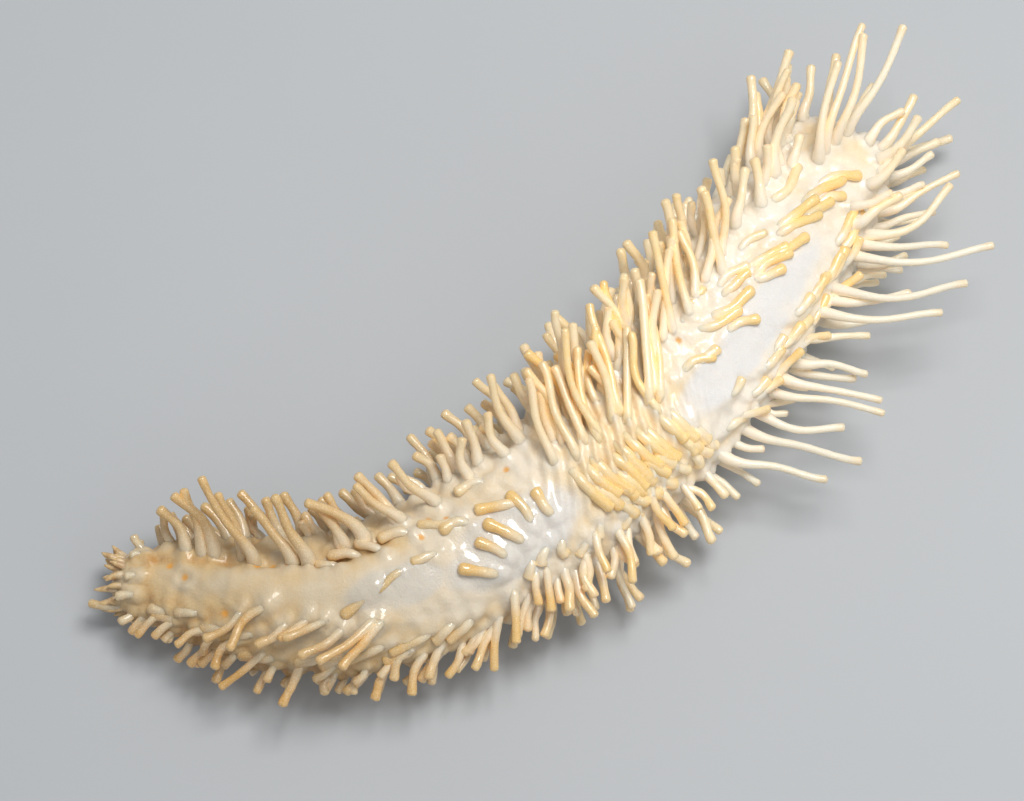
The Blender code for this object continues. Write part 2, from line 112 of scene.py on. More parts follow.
# Rings of such a foot: share of the way down from the root, and radius as a share of the foot's own
STAND_LEVELS = (-0.5, 0.0, 0.12, 0.26, 0.42, 0.6, 0.78, 0.9, 0.97, 1.0, 1.0)
STAND_WIDTHS = (1.9, 1.7, 1.4, 1.16, 1.0, 0.94, 0.98, 1.06, 1.08, 0.98, 0.0)
BELLY_TINT = (0.2, 0.6)
# Share of the tail's painted shade that the belly's feet have
BELLY_PAINTED_SHADE = 0.3

# Camera, from the photo: it looks along +Y and down on the animal
PHOTO_W = 1024
CAMERA_DISTANCE = 330.0
CAMERA_ELEVATION = 72.0
PHOTO_SCALE = 0.095       # mm seen by one pixel at the aim
CAMERA_AIM = (-2.4, -2.5, 5.0)
SENSOR = 36.0

# Lamps: place, size in metres, power in watts and colour
KEY_LAMP = ((90, 80, 400), 0.17, 1.34, (1.0, 0.985, 0.96))
FILL_LAMP = ((260, -240, 260), 0.40, 0.25, (1.0, 0.97, 0.94))
LAMP_AIM = (0, 0, 5)
SKY_COLOUR, SKY_STRENGTH = (0.97, 0.98, 1.0), 0.40
FLOOR_HALF = 900.0


class Row(NamedTuple):
    """Tube feet in one row. Each pair runs from the row's tail end to its mouth end."""
    name: str
    along: tuple      # mm from the vent
    around: tuple     # degrees from the back, towards the right flank
    count: int
    length: tuple     # mm
    heading: tuple    # degrees in plan, from +X towards +Y
    pitch: tuple      # degrees above the floor
    way: int = FREE
    girth: float = 1.0    # as a share of FOOT_GIRTH
    vary: float = 0.32    # how far lengths differ, as a share
    stray: float = 13     # how far headings differ, in degrees
    tint: float = 0.45    # 0 pale, 1 warm yellow


ROWS = (
    # Tail end
    Row("vent_papillae", (0.3, 1.7), (-150, 150), 10, (1.7, 2.4), (138, 216), (24, -4), vary=0.2, stray=8),
    Row("tail_ring", (2.4, 3.4), (-120, 130), 7, (1.6, 2), (120, 240), (10, 0)),
    Row("tail_long", (1.9, 1.9), (84, 84), 1, (3.6, 3.6), (176, 176), (4, 4), girth=0.9, vary=0, stray=3),
    # Left flank, tail to mouth
    Row("left_tail_high", (5, 18), (-36, -30), 6, (6.2, 8.6), (122, 128), (30, 22), vary=0.26),
    Row("left_tail_low", (4, 17), (-72, -70), 7, (3.2, 5.4), (118, 126), (14, 12), vary=0.36, stray=16),
    Row("left_tail_floor", (5, 30), (-112, -112), 7, (2.8, 3.6), (128, 140), (0, 0)),
    Row("left_rear_high", (18.5, 34.5), (-32, -46), 7, (6.4, 4.6), (120, 148), (26, 22), vary=0.42, stray=20),
    Row("left_rear_low", (17.5, 34.5), (-72, -74), 8, (4.6, 3.6), (122, 142), (14, 10), vary=0.36, stray=18),
    Row("left_mid_high", (35.5, 54), (-52, -38), 10, (4.4, 8), (124, 106), (24, 26), vary=0.34, stray=16),
    Row("left_mid_low", (35, 54), (-76, -76), 11, (4.6, 4.8), (124, 104), (10, 8), vary=0.34, stray=18),
    Row("left_mid_floor", (33, 59), (-114, -114), 9, (3.6, 4.2), (150, 126), (0, 0)),
    Row("left_front_high", (55.5, 80), (-42, -50), 10, (6.4, 5.8), (100, 82), (28, 32),
        vary=0.3, stray=12, tint=0.5),
    Row("left_front_low", (55.5, 80), (-72, -78), 10, (4.6, 4.4), (106, 80), (10, 12),
        vary=0.34, stray=14, tint=0.5),
    Row("left_front_floor", (60, 87), (-114, -112), 8, (2.8, 2.8), (118, 92), (0, 0)),
    Row("left_mouth_high", (79.5, 87), (-28, -50), 5, (6, 8.2), (80, 73), (28, 20), vary=0.36),
    Row("left_mouth_low", (80.5, 88.5), (-72, -70), 5, (7, 8.4), (76, 74), (10, 8), vary=0.36),
    # Right flank, tail to mouth
    Row("right_tail_high", (6, 15.5), (42, 48), 6, (3.4, 4.8), (-156, -148), (0, 0),
        LIES, vary=0.3, stray=16, tint=0.85),
    Row("right_tail_low", (4, 18), (78, 78), 7, (2.4, 3.6), (-150, -138), (-16, -16),
        LEANS, vary=0.34, stray=16, tint=0.85),
    Row("right_tail_floor", (5, 20), (110, 110), 4, (1.6, 2.2), (-128, -122), (0, 0),
        vary=0.3, stray=14, tint=0.9),
    Row("right_rear_top", (13.5, 26.5), (18, 30), 8, (5.2, 5.8), (-138, -150), (0, 0),
        LEANS, vary=0.3, stray=14, tint=0.6),
    Row("right_rear_high", (17, 34), (58, 64), 9, (4.8, 4.8), (-146, -124), (-6, -6),
        LIES, vary=0.28, stray=16, tint=0.7),
    Row("right_rear_low", (19, 35), (82, 84), 9, (2.4, 4.8), (-140, -106), (-20, -12),
        LEANS, stray=16, tint=0.7),
    Row("right_rear_floor", (20, 36), (110, 112), 6, (1.8, 4.2), (-114, -96), (0, 0), vary=0.3, stray=14),
    Row("right_mid_high", (35, 53), (56, 62), 10, (4.8, 4.6), (-98, -56), (-12, -12),
        LEANS, vary=0.3, stray=15, tint=0.75),
    Row("right_mid_low", (35.5, 56), (84, 84), 11, (4.2, 4.8), (-100, -44), (-6, -4),
        vary=0.34, stray=18, tint=0.6),
    Row("right_mid_floor", (37, 57), (110, 110), 7, (4.2, 5.4), (-96, -34), (0, 0),
        girth=0.9, vary=0.4, stray=18, tint=0.4),
    Row("right_front_back", (58, 80), (60, 58), 9, (3.8, 4.8), (48, 60), (0, 0),
        LIES, vary=0.26, stray=15, tint=0.85),
    Row("right_front_fringe", (57, 80.5), (80, 70), 11, (8.8, 11), (-16, 12), (2, 6),
        girth=0.84, vary=0.4, stray=9, tint=0.08),
    Row("right_front_floor", (57, 81.5), (98, 98), 7, (4.2, 5.6), (-24, 16), (0, 0),
        girth=0.8, vary=0.4, stray=14, tint=0.15),
    Row("right_mouth_high", (81.5, 90), (46, 44), 5, (5, 6.8), (18, 46), (12, 14),
        girth=0.9, vary=0.36, tint=0.3),
    Row("right_mouth_fringe", (80.5, 89.5), (74, 72), 6, (9.6, 6.4), (14, 34), (4, 6),
        girth=0.84, vary=0.36, stray=12, tint=0.15),
    # Back
    Row("back_rear", (25, 41.5), (6, 0), 5, (3.8, 4.4), (-118, -186), (0, 0),
        LIES, vary=0.26, stray=16, tint=0.85),
    Row("back_bare_patch", (34.5, 43), (44, 20), 5, (4.4, 4.2), (176, 114), (0, 0),
        LIES, vary=0.2, stray=9, tint=1),
    Row("crest_long", (44.5, 57.5), (-14, 8), 8, (9.6, 10.8), (118, 92), (10, 8),
        LEANS, girth=0.95, vary=0.26, stray=11, tint=0.6),
    Row("fold_near", (46.2, 57.6), (16, 36), 9, (6, 5.8), (-40, -36), (0, 0),
        LIES, girth=1.1, vary=0.1, stray=4, tint=0.9),
    Row("fold_crest", (45.6, 57), (-6, 14), 10, (7.8, 7.6), (-43, -38), (0, 0),
        LIES, girth=1.1, vary=0.08, stray=4, tint=0.9),
    Row("fold_low", (47, 58), (40, 56), 8, (5.4, 5.2), (-44, -32), (0, 0),
        LIES, girth=1.1, vary=0.18, stray=6, tint=1),
    Row("front_long", (58.5, 72), (-12, -16), 8, (9, 8.6), (96, 88), (14, 18),
        LEANS, girth=0.95, vary=0.24, stray=9, tint=0.55),
    Row("back_front_left", (59, 83), (2, -4), 10, (4.6, 6.6), (44, 26), (0, 0),
        LIES, vary=0.28, stray=14, tint=1),
    Row("back_front_far", (74, 84), (-24, -22), 3, (5.2, 5.4), (84, 74), (14, 20)),
    Row("mouth_top", (85, 90), (-10, 2), 4, (11.4, 11), (84, 58), (12, 10),
        girth=0.9, vary=0.24, stray=9, tint=0.3),
    Row("mouth_ring", (88.6, 91.4), (-100, 118), 10, (6.4, 8.2), (96, 22), (2, 4),
        girth=0.95, stray=11, tint=0.35),
)

# Feet and lobes that the solids leave out, between the rows above and under the mouth
FILL_ROWS = (
    Row("left_tail_under", (4, 30), (-94, -94), 8, (2.8, 3.8), (124, 138), (4, 2),
        girth=0.95, vary=0.36, stray=20),
    Row("left_rear_between", (18, 34.5), (-58, -62), 4, (3.8, 4), (120, 146), (20, 14),
        girth=0.95, vary=0.4, stray=22),
    Row("left_mid_between", (35, 54), (-64, -58), 10, (4, 5.4), (126, 104), (18, 16),
        girth=0.95, vary=0.4, stray=20),
    Row("left_mid_under", (33, 59), (-96, -96), 12, (3.8, 4.2), (146, 118), (2, 0),
        girth=0.95, vary=0.36, stray=20),
    Row("left_front_between", (55.5, 73), (-58, -62), 9, (4.8, 5), (102, 88), (20, 22),
        girth=0.9, vary=0.36, stray=14, tint=0.5),
    Row("left_front_crest", (56.5, 73), (-28, -34), 9, (6.2, 5.6), (100, 90), (24, 28),
        LEANS, girth=0.9, vary=0.34, tint=0.5),
    Row("left_front_under", (58, 88), (-94, -96), 9, (3.2, 3.8), (114, 84), (2, 2),
        girth=0.9, vary=0.36, stray=16),
    Row("left_mouth_between", (80, 89), (-58, -60), 5, (5.4, 7), (80, 72), (16, 14),
        girth=0.9, vary=0.4, stray=15),
    Row("right_tail_between", (5, 17), (60, 62), 6, (2.8, 4.2), (-152, -142), (-10, -12),
        LEANS, girth=0.9, vary=0.4, stray=18, tint=0.8),
    Row("right_tail_under", (4, 20), (96, 96), 6, (1.8, 2.8), (-134, -124), (0, 0),
        girth=0.9, vary=0.36, stray=16, tint=0.9),
    Row("right_rear_between", (18, 35), (70, 74), 8, (3.4, 4.4), (-136, -114), (-16, -16),
        LEANS, girth=0.95, vary=0.4, stray=18, tint=0.65),
    Row("right_rear_under", (19, 36), (98, 98), 5, (2, 3.8), (-114, -98), (0, 0),
        girth=0.9, vary=0.36, stray=16, tint=0.6),
    Row("right_mid_top", (38, 53), (44, 54), 9, (4.4, 4.6), (-96, -52), (0, 0),
        LIES, vary=0.3, stray=14, tint=0.8),
    Row("right_mid_between", (35, 56), (72, 74), 9, (4.2, 4.6), (-98, -46), (-8, -8),
        LEANS, girth=0.95, vary=0.36, stray=18, tint=0.65),
    Row("right_mid_under", (36, 57), (98, 98), 7, (4, 4.6), (-98, -36), (0, 0),
        girth=0.85, vary=0.4, stray=18, tint=0.2),
    Row("right_front_between", (57, 81), (89, 87), 5, (4.2, 5.8), (-20, 14), (0, 4),
        girth=0.8, vary=0.45, stray=14, tint=0.1),
    Row("right_front_knot", (59, 79), (70, 66), 7, (3.4, 4.4), (30, 52), (14, 10),
        LEANS, girth=0.95, vary=0.3, stray=22, tint=0.9),
    Row("right_mouth_under", (80.5, 89.5), (96, 92), 5, (5, 4.6), (14, 32), (0, 0),
        girth=0.85, vary=0.36, stray=14, tint=0.3),
    Row("fold_far", (45.5, 57.5), (-26, -22), 10, (6.4, 7.2), (114, 96), (12, 10),
        LEANS, girth=0.95, vary=0.34, tint=0.8),
    Row("crest_between", (46, 57), (-8, 12), 7, (7.4, 9.2), (112, 94), (8, 4),
        LEANS, girth=0.9, vary=0.34, tint=0.7),
    Row("back_front_between", (60, 82), (10, 4), 6, (4, 5.4), (46, 26), (0, 0),
        LIES, girth=0.95, vary=0.3, stray=18, tint=1),
    Row("back_front_beside", (58, 80), (-16, -18), 5, (4.4, 5.4), (62, 48), (0, 0),
        LIES, girth=0.9, vary=0.34, stray=20, tint=0.7),
    Row("right_back_between", (60, 79), (52, 50), 5, (3.6, 4.4), (58, 68), (0, 0),
        LIES, girth=0.95, vary=0.3, stray=18, tint=0.9),
    Row("back_rear_left", (20, 40), (-20, -24), 6, (3.6, 4.4), (150, 196), (0, 0),
        LIES, girth=0.95, vary=0.3, stray=26, tint=0.6),
    Row("mouth_under", (89.8, 89.2), (118, 242), 9, (3.6, 3.9), (30, 84), (-6, -2),
        girth=0.9, vary=0.3, tint=0.35),
    Row("mouth_below", (86.8, 86.4), (128, 232), 6, (2.6, 2.8), (20, 94), (-8, -8),
        girth=0.9, vary=0.3, stray=14, tint=0.3),
    Row("papillae_between", (0.5, 2.4), (-140, 140), 12, (1.6, 2.3), (128, 226), (24, 0),
        girth=0.9, vary=0.25, stray=12),
)

# Columns of the table of feet
ALONG, AROUND, LENGTH, HEADING, PITCH, CURLED, SWAYED, WAY, GIRTH, TINT, ROW = range(11)
LOBE_ROWS = (0, len(ROWS) + len(FILL_ROWS) - 1)   # numbers of the rows of lobes round the vent


# Body line and wall

class Body:
    """The body's line and its half width, read by the distance along the line from the vent.

    The line is a cubic through the stations. The half width falls to nothing at each end along a quarter
    circle, and the line's height is the belly's clearance, plus its depth, plus a lift where it is thin.
    """

    def __init__(self):
        knots = np.array(STATIONS, float)
        knots[:, :2] += CENTRING
        chord = np.r_[0, np.cumsum(np.linalg.norm(np.diff(knots[:, :2], axis=0), axis=1))]
        slope = np.gradient(knots, chord, axis=0)
        fine = np.linspace(0, chord[-1], LINE_POINTS)
        k = np.clip(np.searchsorted(chord, fine, side="right") - 1, 0, len(chord) - 2)
        span = (chord[k + 1] - chord[k])[:, None]
        t = (fine - chord[k])[:, None] / span
        line = cubic(t, knots[k], knots[k + 1], span * slope[k], span * slope[k + 1])
        step = np.linalg.norm(np.diff(line[:, :2], axis=0), axis=1)
        self.along = np.r_[0, np.cumsum(step)]
        self.length = self.along[-1]
        tail = ramp(self.along, 0, TAIL_ROUND)
        mouth = ramp(self.length - self.along, 0, MOUTH_ROUND)
        self.wide = line[:, 2] * np.sqrt(1 - (1 - tail)**2) * np.sqrt(1 - (1 - mouth)**2)
        lift = TIP_LIFT * (1 - self.wide / self.wide.max())**2
        self.centre = np.c_[line[:, :2], BELLY_CLEAR + BELLY_SHARE * self.wide + lift]
        flat = unit(np.gradient(line[:, :2], self.along, axis=0))
        level = np.zeros(len(flat))
        self.tangent = np.c_[flat, level]
        self.side = np.c_[flat[:, 1], -flat[:, 0], level]
        self.slope = np.gradient(self.wide, self.along)

    def read(self, values, along):
        """Values of one of the arrays at distances along the line."""
        if values.ndim == 1:
            return np.interp(along, self.along, values)
        return np.stack([np.interp(along, self.along, column) for column in values.T], -1)

    def skin(self, along, around):
        """Wall points and outward normals, for angles in radians from the back."""
        centre, side, tangent = (self.read(v, along) for v in (self.centre, self.side, self.tangent))
        wide, slope = self.read(self.wide, along)[..., None], self.read(self.slope, along)[..., None]
        s, c = np.sin(around)[..., None], np.cos(around)[..., None]
        share = np.where(c > 0, BACK_SHARE, BELLY_SHARE)
        up = np.array([0, 0, 1.0])
        point = centre + side * wide * s + up * wide * share * c
        normal = side * s + up * c / share - tangent * np.clip(slope, -STEEPEST, STEEPEST)
        return point, unit(normal)

    def local(self, points):
        """The nearest place on the line for each point, and its offsets to the side, up and ahead."""
        near = np.concatenate([
            ((block[:, None, :2] - self.centre[None, :, :2])**2).sum(-1).argmin(1)
            for block in np.array_split(points, max(1, len(points) // BLOCK))])
        off = points - self.centre[near]
        return near, (off * self.side[near]).sum(-1), off[:, 2], (off * self.tangent[near]).sum(-1)


def unit(vectors):
    """The vectors at length one."""
    return vectors / np.linalg.norm(vectors, axis=-1, keepdims=True)


def ends(pair, share):
    """Values that run evenly from the first of a pair to the second."""
    return pair[0] + (pair[1] - pair[0]) * share


def ramp(value, start, end):
    """Nought up to start and one from end on, even between them. The end may be the lower of the two."""
    return np.clip((value - start) / (end - start), 0, 1)


def bell(x):
    """One at nought, dying away evenly on both sides."""
    return np.exp(-x**2)


def cubic(t, a, b, slope_a, slope_b):
    """The cubic from a to b, as t goes from nought to one, that has the given slopes at its ends."""
    return ((2 * t**3 - 3 * t**2 + 1) * a + (t**3 - 2 * t**2 + t) * slope_a
            + (3 * t**2 - 2 * t**3) * b + (t**3 - t**2) * slope_b)


# Tube feet

def feet_table(rows, rng):
    """One line for every foot, with its row's values at its place and its own differences from them."""
    out = []
    for number, row in enumerate(rows):
        share = (np.arange(row.count) + 0.5) / row.count
        along, around, length, heading, pitch, bent = rng.uniform(-1, 1, (row.count, 6)).T
        even = min(1, row.stray / STRAY_FULL)
        along, around, bent = along * even, around * even, bent * even
        step = abs(row.along[1] - row.along[0]) / row.count
        out.append(np.c_[
            ends(row.along, share) + along * ALONG_WOBBLE * step,
            ends(row.around, share) + around * AROUND_WOBBLE,
            ends(row.length, share) * (1 + row.vary * length),
            ends(row.heading, share) + heading * row.stray,
            ends(row.pitch, share) + pitch * PITCH_WOBBLE,
            bent,
            around,
            np.full(row.count, float(row.way)),
            row.girth * FOOT_GIRTH * (1 + GIRTH_WOBBLE * bent),
            np.clip(row.tint + TINT_WOBBLE * heading, 0, 1),
            np.full(row.count, float(number)),
        ])
    return np.concatenate(out)


def foot_paths(body, table):
    """Root, wall normal and points of every foot, and the number of the solid that it stands on.

    A foot leaves along the wall's normal and turns to its heading by a smooth step. The heading itself turns
    evenly along the foot, which curls it, and one way and back along a sine, which sways it.
    """
    along, way, length = table[:, ALONG], table[:, WAY], table[:, LENGTH]
    node = np.searchsorted(NODE_CUTS, along)
    low, high = np.r_[0, NODE_CUTS][node], np.r_[NODE_CUTS, body.length][node]
    along = np.clip(along, low + np.where(node > 0, ROOT_FROM_CUT, ROOT_FROM_END),
                    high - np.where(node < len(NODE_CUTS), ROOT_FROM_CUT, ROOT_FROM_END))
    root, normal = body.skin(along, np.radians(table[:, AROUND]))
    t = np.linspace(0, 1, PATH_POINTS)
    mid = (t[1:] + t[:-1]) / 2
    bend = np.clip(mid / np.where(way > 0, LYING_BEND, FREE_BEND)[:, None], 0, 1)
    bend = (STRAIGHT_SHARE + (1 - STRAIGHT_SHARE) * bend**2 * (3 - 2 * bend))[..., None]
    turn = np.radians(table[:, HEADING, None] + CURL * table[:, CURLED, None] * (mid - CURL_MIDDLE)
                      + SWAY * table[:, SWAYED, None] * np.sin(2 * math.pi * mid))
    rise = np.radians(table[:, PITCH, None])
    goal = np.stack([np.cos(rise) * np.cos(turn), np.cos(rise) * np.sin(turn),
                     np.broadcast_to(np.sin(rise), turn.shape)], -1)
    steps = unit(normal[:, None] * (1 - bend) + goal * bend) * (length / (PATH_POINTS - 1))[:, None, None]
    path = np.concatenate([root[:, None], root[:, None] + np.cumsum(steps, 1)], 1)
    radius = table[:, GIRTH] / 2
    for _ in range(WALL_PASSES):
        path = off_wall(body, path, radius, way.astype(int))
        path[..., 2] = np.maximum(path[..., 2], radius[:, None] + FLOOR_CLEAR)
    return root, normal, path, node


def off_wall(body, path, radius, way):
    """Moves points out of the body wall, and those of a lying foot down to it, with the root in the wall.

    A point's distance from the line, as a share of the wall's, is scaled to what it should be there: under
    the wall by the buried depth at the root, and from there up to its height over the wall along a parabola.
    """
    feet, count, _ = path.shape
    near, x, z, ahead = body.local(path.reshape(-1, 3))
    wide = np.maximum(body.wide[near], LEAST_WIDE)
    deep = wide * np.where(z > 0, BACK_SHARE, BELLY_SHARE)
    radius, way = np.repeat(radius, count), np.repeat(way, count)
    lies, buried = way == LIES, np.array(BURIED)[way]
    t = np.tile(np.linspace(0, 1, count), feet)
    out = np.sqrt((x / wide)**2 + (z / deep)**2)
    depth = np.where(lies, LIE_DEPTH, PASS_DEPTH)
    rise = np.clip(t / (RISE_SHARE * (1 + BURIED_RISE * buried)), 0, 1)
    want = 1 + ((depth + buried) * rise * (2 - rise) - buried) * radius / np.minimum(wide, deep)
    scale = np.where((out < want) | lies | (t == 0), want / np.maximum(out, TINY), 1)
    past_the_end = (near == 0) | (near == len(body.along) - 1)
    scale = np.where(past_the_end, 1, np.clip(scale, *MOVE_LIMITS))
    moved = body.centre[near] + body.side[near] * (x * scale)[:, None] + body.tangent[near] * ahead[:, None]
    moved[:, 2] += z * scale
    return moved.reshape(feet, count, 3)


FOOT_SIDES = 16
BASE_RINGS = (-0.7, -0.3, 0.0, 0.3, 0.65, 1.05, 1.55, 2.2)     # mm from the root
BASE_MOST = 0.45          # most of a foot's length that these rings take
STALK_RINGS = 11
TIP_RINGS = (0.0, 0.25, 0.5, 0.7, 0.85, 0.94, 0.985, 1.0)      # shares of the rounded end's length
TIP_LONG = (0.7, 1.0)     # least and most length of the rounded end, in radii
TIP_SQUARE = 2.4          # power of the end's curve: 2 would be an ellipse
# Share of its girth that a free, leaning and lying foot has in the render
GIRTH_BY_WAY = (0.95, 0.97, 1.2)
# Widening at the root of each, as a share of its radius, its reach in mm, and its change from foot to foot
FLARE = (0.85, 0.3, 0.1)
FLARE_REACH = (2.0, 1.6, 0.9)
FLARE_VARY = (0.75, 1.1)
FLARE_CURVE = 1.35        # power by which it dies away
FLARE_WHOLE = 4           # length from which a foot has all of it
FLARE_KEPT = 0.2          # share of it that a foot along the wall keeps
FLARE_PLAIN = 6           # length of a foot with that reach, and least and most share for other lengths
FLARE_SHARES = (0.6, 1.4)
UPRIGHT_RING = 5          # the base ring at which a foot's lean from the wall's normal is measured
ROOT_TAPER = (0.6, 0.5, 0.35)  # share of the radius that the root of a foot along the wall loses, by way
TAPER_REACH = 1.7         # mm over which it gets that back
CLUB = (0.05, 0.11)       # swelling before the end as a share of the radius: least, and how much more at most
CLUB_PLACE = (0.5, 0.6)   # mm before the end, and its reach
WAIST, WAIST_VARY = 0.10, (0.3, 1)       # how much thinner the middle is
WAVER, WAVER_RATE, WAVER_START = 0.035, (2.2, 4.4), (0, 6)   # small waves of the thickness along a foot
LOBE_GIRTH = 1.3
LOBE_TAPER = 0.8          # share of its thickness that a lobe loses towards its point
ROOT_UPRIGHT = 0.7        # share of the wall's normal in the direction of the first rings
NEVER_ALONG = (0.31, 0.17, 0.94)         # a direction that no foot starts in


def smooth_along(path, where):
    """Points between the given ones, by a cubic through them. where counts points from 0."""
    slope = np.gradient(path, axis=1)
    k = np.clip(where.astype(int), 0, path.shape[1] - 2)
    t = (where - k)[..., None]
    rows = np.arange(len(path))[:, None]
    return cubic(t, path[rows, k], path[rows, k + 1], slope[rows, k], slope[rows, k + 1])


def path_length(path):
    """Length of every foot's path."""
    return np.linalg.norm(np.diff(path, axis=1), axis=2).sum(1)


def foot_surfaces(root, normal, path, table, rng):
    """Rings of every foot, each ring's share of the foot's length, and its distance from the root in mm.

    The radius is the foot's own, times one less a waist, plus a flare that dies away from the root, plus a
    soft swelling before the end and small waves, and the end closes along a quarter of a flat and
    square-shouldered ellipse. A foot that runs along the wall has less flare, and its root tapers instead.
    """
    feet, length, way = len(path), path_length(path), table[:, WAY].astype(int)
    lobes = np.isin(table[:, ROW], LOBE_ROWS)
    radius = table[:, GIRTH] / 2 * np.where(lobes, LOBE_GIRTH, np.array(GIRTH_BY_WAY)[way])
    close = radius * rng.uniform(*TIP_LONG, feet)
    base = np.array(BASE_RINGS)
    start = np.minimum(base[-1], BASE_MOST * length)
    base = base[None] * np.where(base[None] > 0, (start / base[-1])[:, None], 1)
    stalk = np.linspace(0, 1, STALK_RINGS + 2)[1:-1]
    middle = start[:, None] + (length - close - start)[:, None] * stalk
    tip = (length - close)[:, None] + close[:, None] * np.array(TIP_RINGS)
    place = np.concatenate([base, middle, tip], 1)
    share = np.clip(place / length[:, None], 0, 1)
    point = smooth_along(path, share * (PATH_POINTS - 1))
    point += normal[:, None] * np.minimum(place, 0)[..., None]
    upright = np.clip(((point[:, UPRIGHT_RING] - root) * normal).sum(-1) / BASE_RINGS[UPRIGHT_RING], 0, 1)
    flare = np.array(FLARE)[way] * np.minimum(1, length / FLARE_WHOLE) * rng.uniform(*FLARE_VARY, feet)
    flare = (flare * (FLARE_KEPT + (1 - FLARE_KEPT) * upright))[:, None]
    reach = (np.array(FLARE_REACH)[way] * np.clip(length / FLARE_PLAIN, *FLARE_SHARES))[:, None]
    club = (CLUB[0] + CLUB[1] * rng.uniform(0, 1, feet))[:, None]
    wide = 1 - WAIST * np.sin(np.pi * share) * rng.uniform(*WAIST_VARY, feet)[:, None]
    wide = wide + flare * np.exp(-(np.maximum(place, 0) / reach)**FLARE_CURVE)
    taper = (np.array(ROOT_TAPER)[way] * (1 - upright))[:, None]
    wide = wide - taper * bell((place - BASE_RINGS[0]) / TAPER_REACH)
    wide = wide + club * bell((length[:, None] - place - CLUB_PLACE[0]) / CLUB_PLACE[1])
    wide = wide * np.where(lobes, 1 - LOBE_TAPER * share.T, 1).T
    rate, phase = rng.uniform(*WAVER_RATE, feet)[:, None], rng.uniform(*WAVER_START, feet)[:, None]
    wide = wide + WAVER * np.sin(place * rate + phase)
    shut = np.clip((place - (length - close)[:, None]) / close[:, None], 0, 1)
    ring = radius[:, None] * wide * np.sqrt(np.clip(1 - shut**TIP_SQUARE, 0, 1))
    ahead = unit(np.gradient(point, axis=1) + 1e-9)
    ahead[:, :3] = unit(normal[:, None] * ROOT_UPRIGHT + ahead[:, 3:4] * (1 - ROOT_UPRIGHT))
    across = unit(np.cross(ahead[:, 0], np.array(NEVER_ALONG)))
    rings = np.empty(point.shape[:2] + (FOOT_SIDES, 3))
    turn = 2 * math.pi * np.arange(FOOT_SIDES) / FOOT_SIDES
    for i in range(point.shape[1]):
        across = unit(across - ahead[:, i] * (across * ahead[:, i]).sum(-1, keepdims=True))
        other = np.cross(ahead[:, i], across)
        spoke = np.cos(turn)[None, :, None] * across[:, None] + np.sin(turn)[None, :, None] * other[:, None]
        rings[:, i] = point[:, i, None] + spoke * ring[:, i, None, None]
    return rings, share, np.maximum(place, 0)


def standing_feet(body, rng):
    """Short feet under the belly, from the wall down to a flat disc on the floor.

    Each leans a little, has a flared root, and widens to its disc. The values are those of foot_surfaces.
    """
    turn = 2 * math.pi * np.arange(FOOT_SIDES) / FOOT_SIDES
    disc = np.c_[np.cos(turn), np.sin(turn), np.zeros(FOOT_SIDES)]
    level, wide = np.array(STAND_LEVELS), np.array(STAND_WIDTHS)
    places = np.arange(STAND_ENDS[0], body.length - STAND_ENDS[1], STAND_STEP)
    rings, heights = [], []
    for number, around in enumerate(STAND_ROWS):
        shift = STAND_STEP / 2 if number % 2 else 0
        row = places + shift + rng.uniform(-STAND_STRAY, STAND_STRAY, len(places))
        girth = STAND_GIRTH / 2 * rng.uniform(*STAND_GIRTH_VARY, len(places))
        lean = rng.uniform(-STAND_LEAN, STAND_LEAN, (len(places), 2))
        root = body.skin(np.minimum(row, body.length - STAND_LAST), np.radians(180.0 - around))[0]
        keep = root[:, 2] < STAND_HIGHEST
        root, girth, lean = root[keep], girth[keep], lean[keep]
        centre = np.repeat(root[:, None], len(level), 1)
        centre[..., :2] += lean[:, None] * np.clip(level, 0, 1)[None, :, None]
        centre[..., 2] = root[:, 2, None] * (1 - level)
        rings.append(centre[:, :, None] + disc[None, None] * (girth[:, None] * wide)[..., None, None])
        heights.append(root[:, 2])
    rings = np.concatenate(rings)
    share = np.broadcast_to(np.clip(level, 0, 1), rings.shape[:2]).copy()
    return rings, share, share * np.concatenate(heights)[:, None]


# Skin

SKIN_ALONG, SKIN_AROUND = 500, 198
END_CROWDING = 0.012      # how much closer together the skin's rows are at its ends
SKIN_FROM_END = 0.004     # distance of the first and last row from the vent and the mouth
SKIN_FROM_FLOOR = 0.25    # the wall isn't moved where that would bring it nearer to the floor than this
THIN_WALL = 3.0           # half width under which everything that moves the wall grows smaller
# Painted shade, for the light falling off towards the tail, with some of the tail's own browner tone: the
# wall and feet grow darker and browner from the second place to the first
PAINTED_SHADE_REACH = (20.0, 54.0)
# Bare patches of the back: middle along and around, half length, half width in degrees
BARE_PATCHES = ((38.0, 22.0, 7.5, 32.0), (67.0, 30.0, 12.5, 20.0), (27.0, 12.0, 5.0, 20.0))
BARE_EDGE = (1.6, 1.3)    # bareness at a patch's middle, before it is cut off at one, and its fall
BARE_CLOUDS = (0.85, 0.25)       # bareness in a patch, and how much its clouds change it
RIPPLE_VARY = (0.7, 1.5)  # how far the pitch of one sine in a ripple differs
CLOUD_RIPPLE = (8, 5.0)   # number of sines and pitch in mm, as in the next two
BROAD_RIPPLE, BROAD_FOLD = (12, 3.2), 0.09
FINE_RIPPLE, FINE_FOLD = (14, 1.3), 0.035
BROAD_STRETCH = (1.7, 0.7)       # makes the broad folds run round the body more than along it
CALM = (0.8, 0.85)        # how much of the folds is missing where bare, and on the ridge
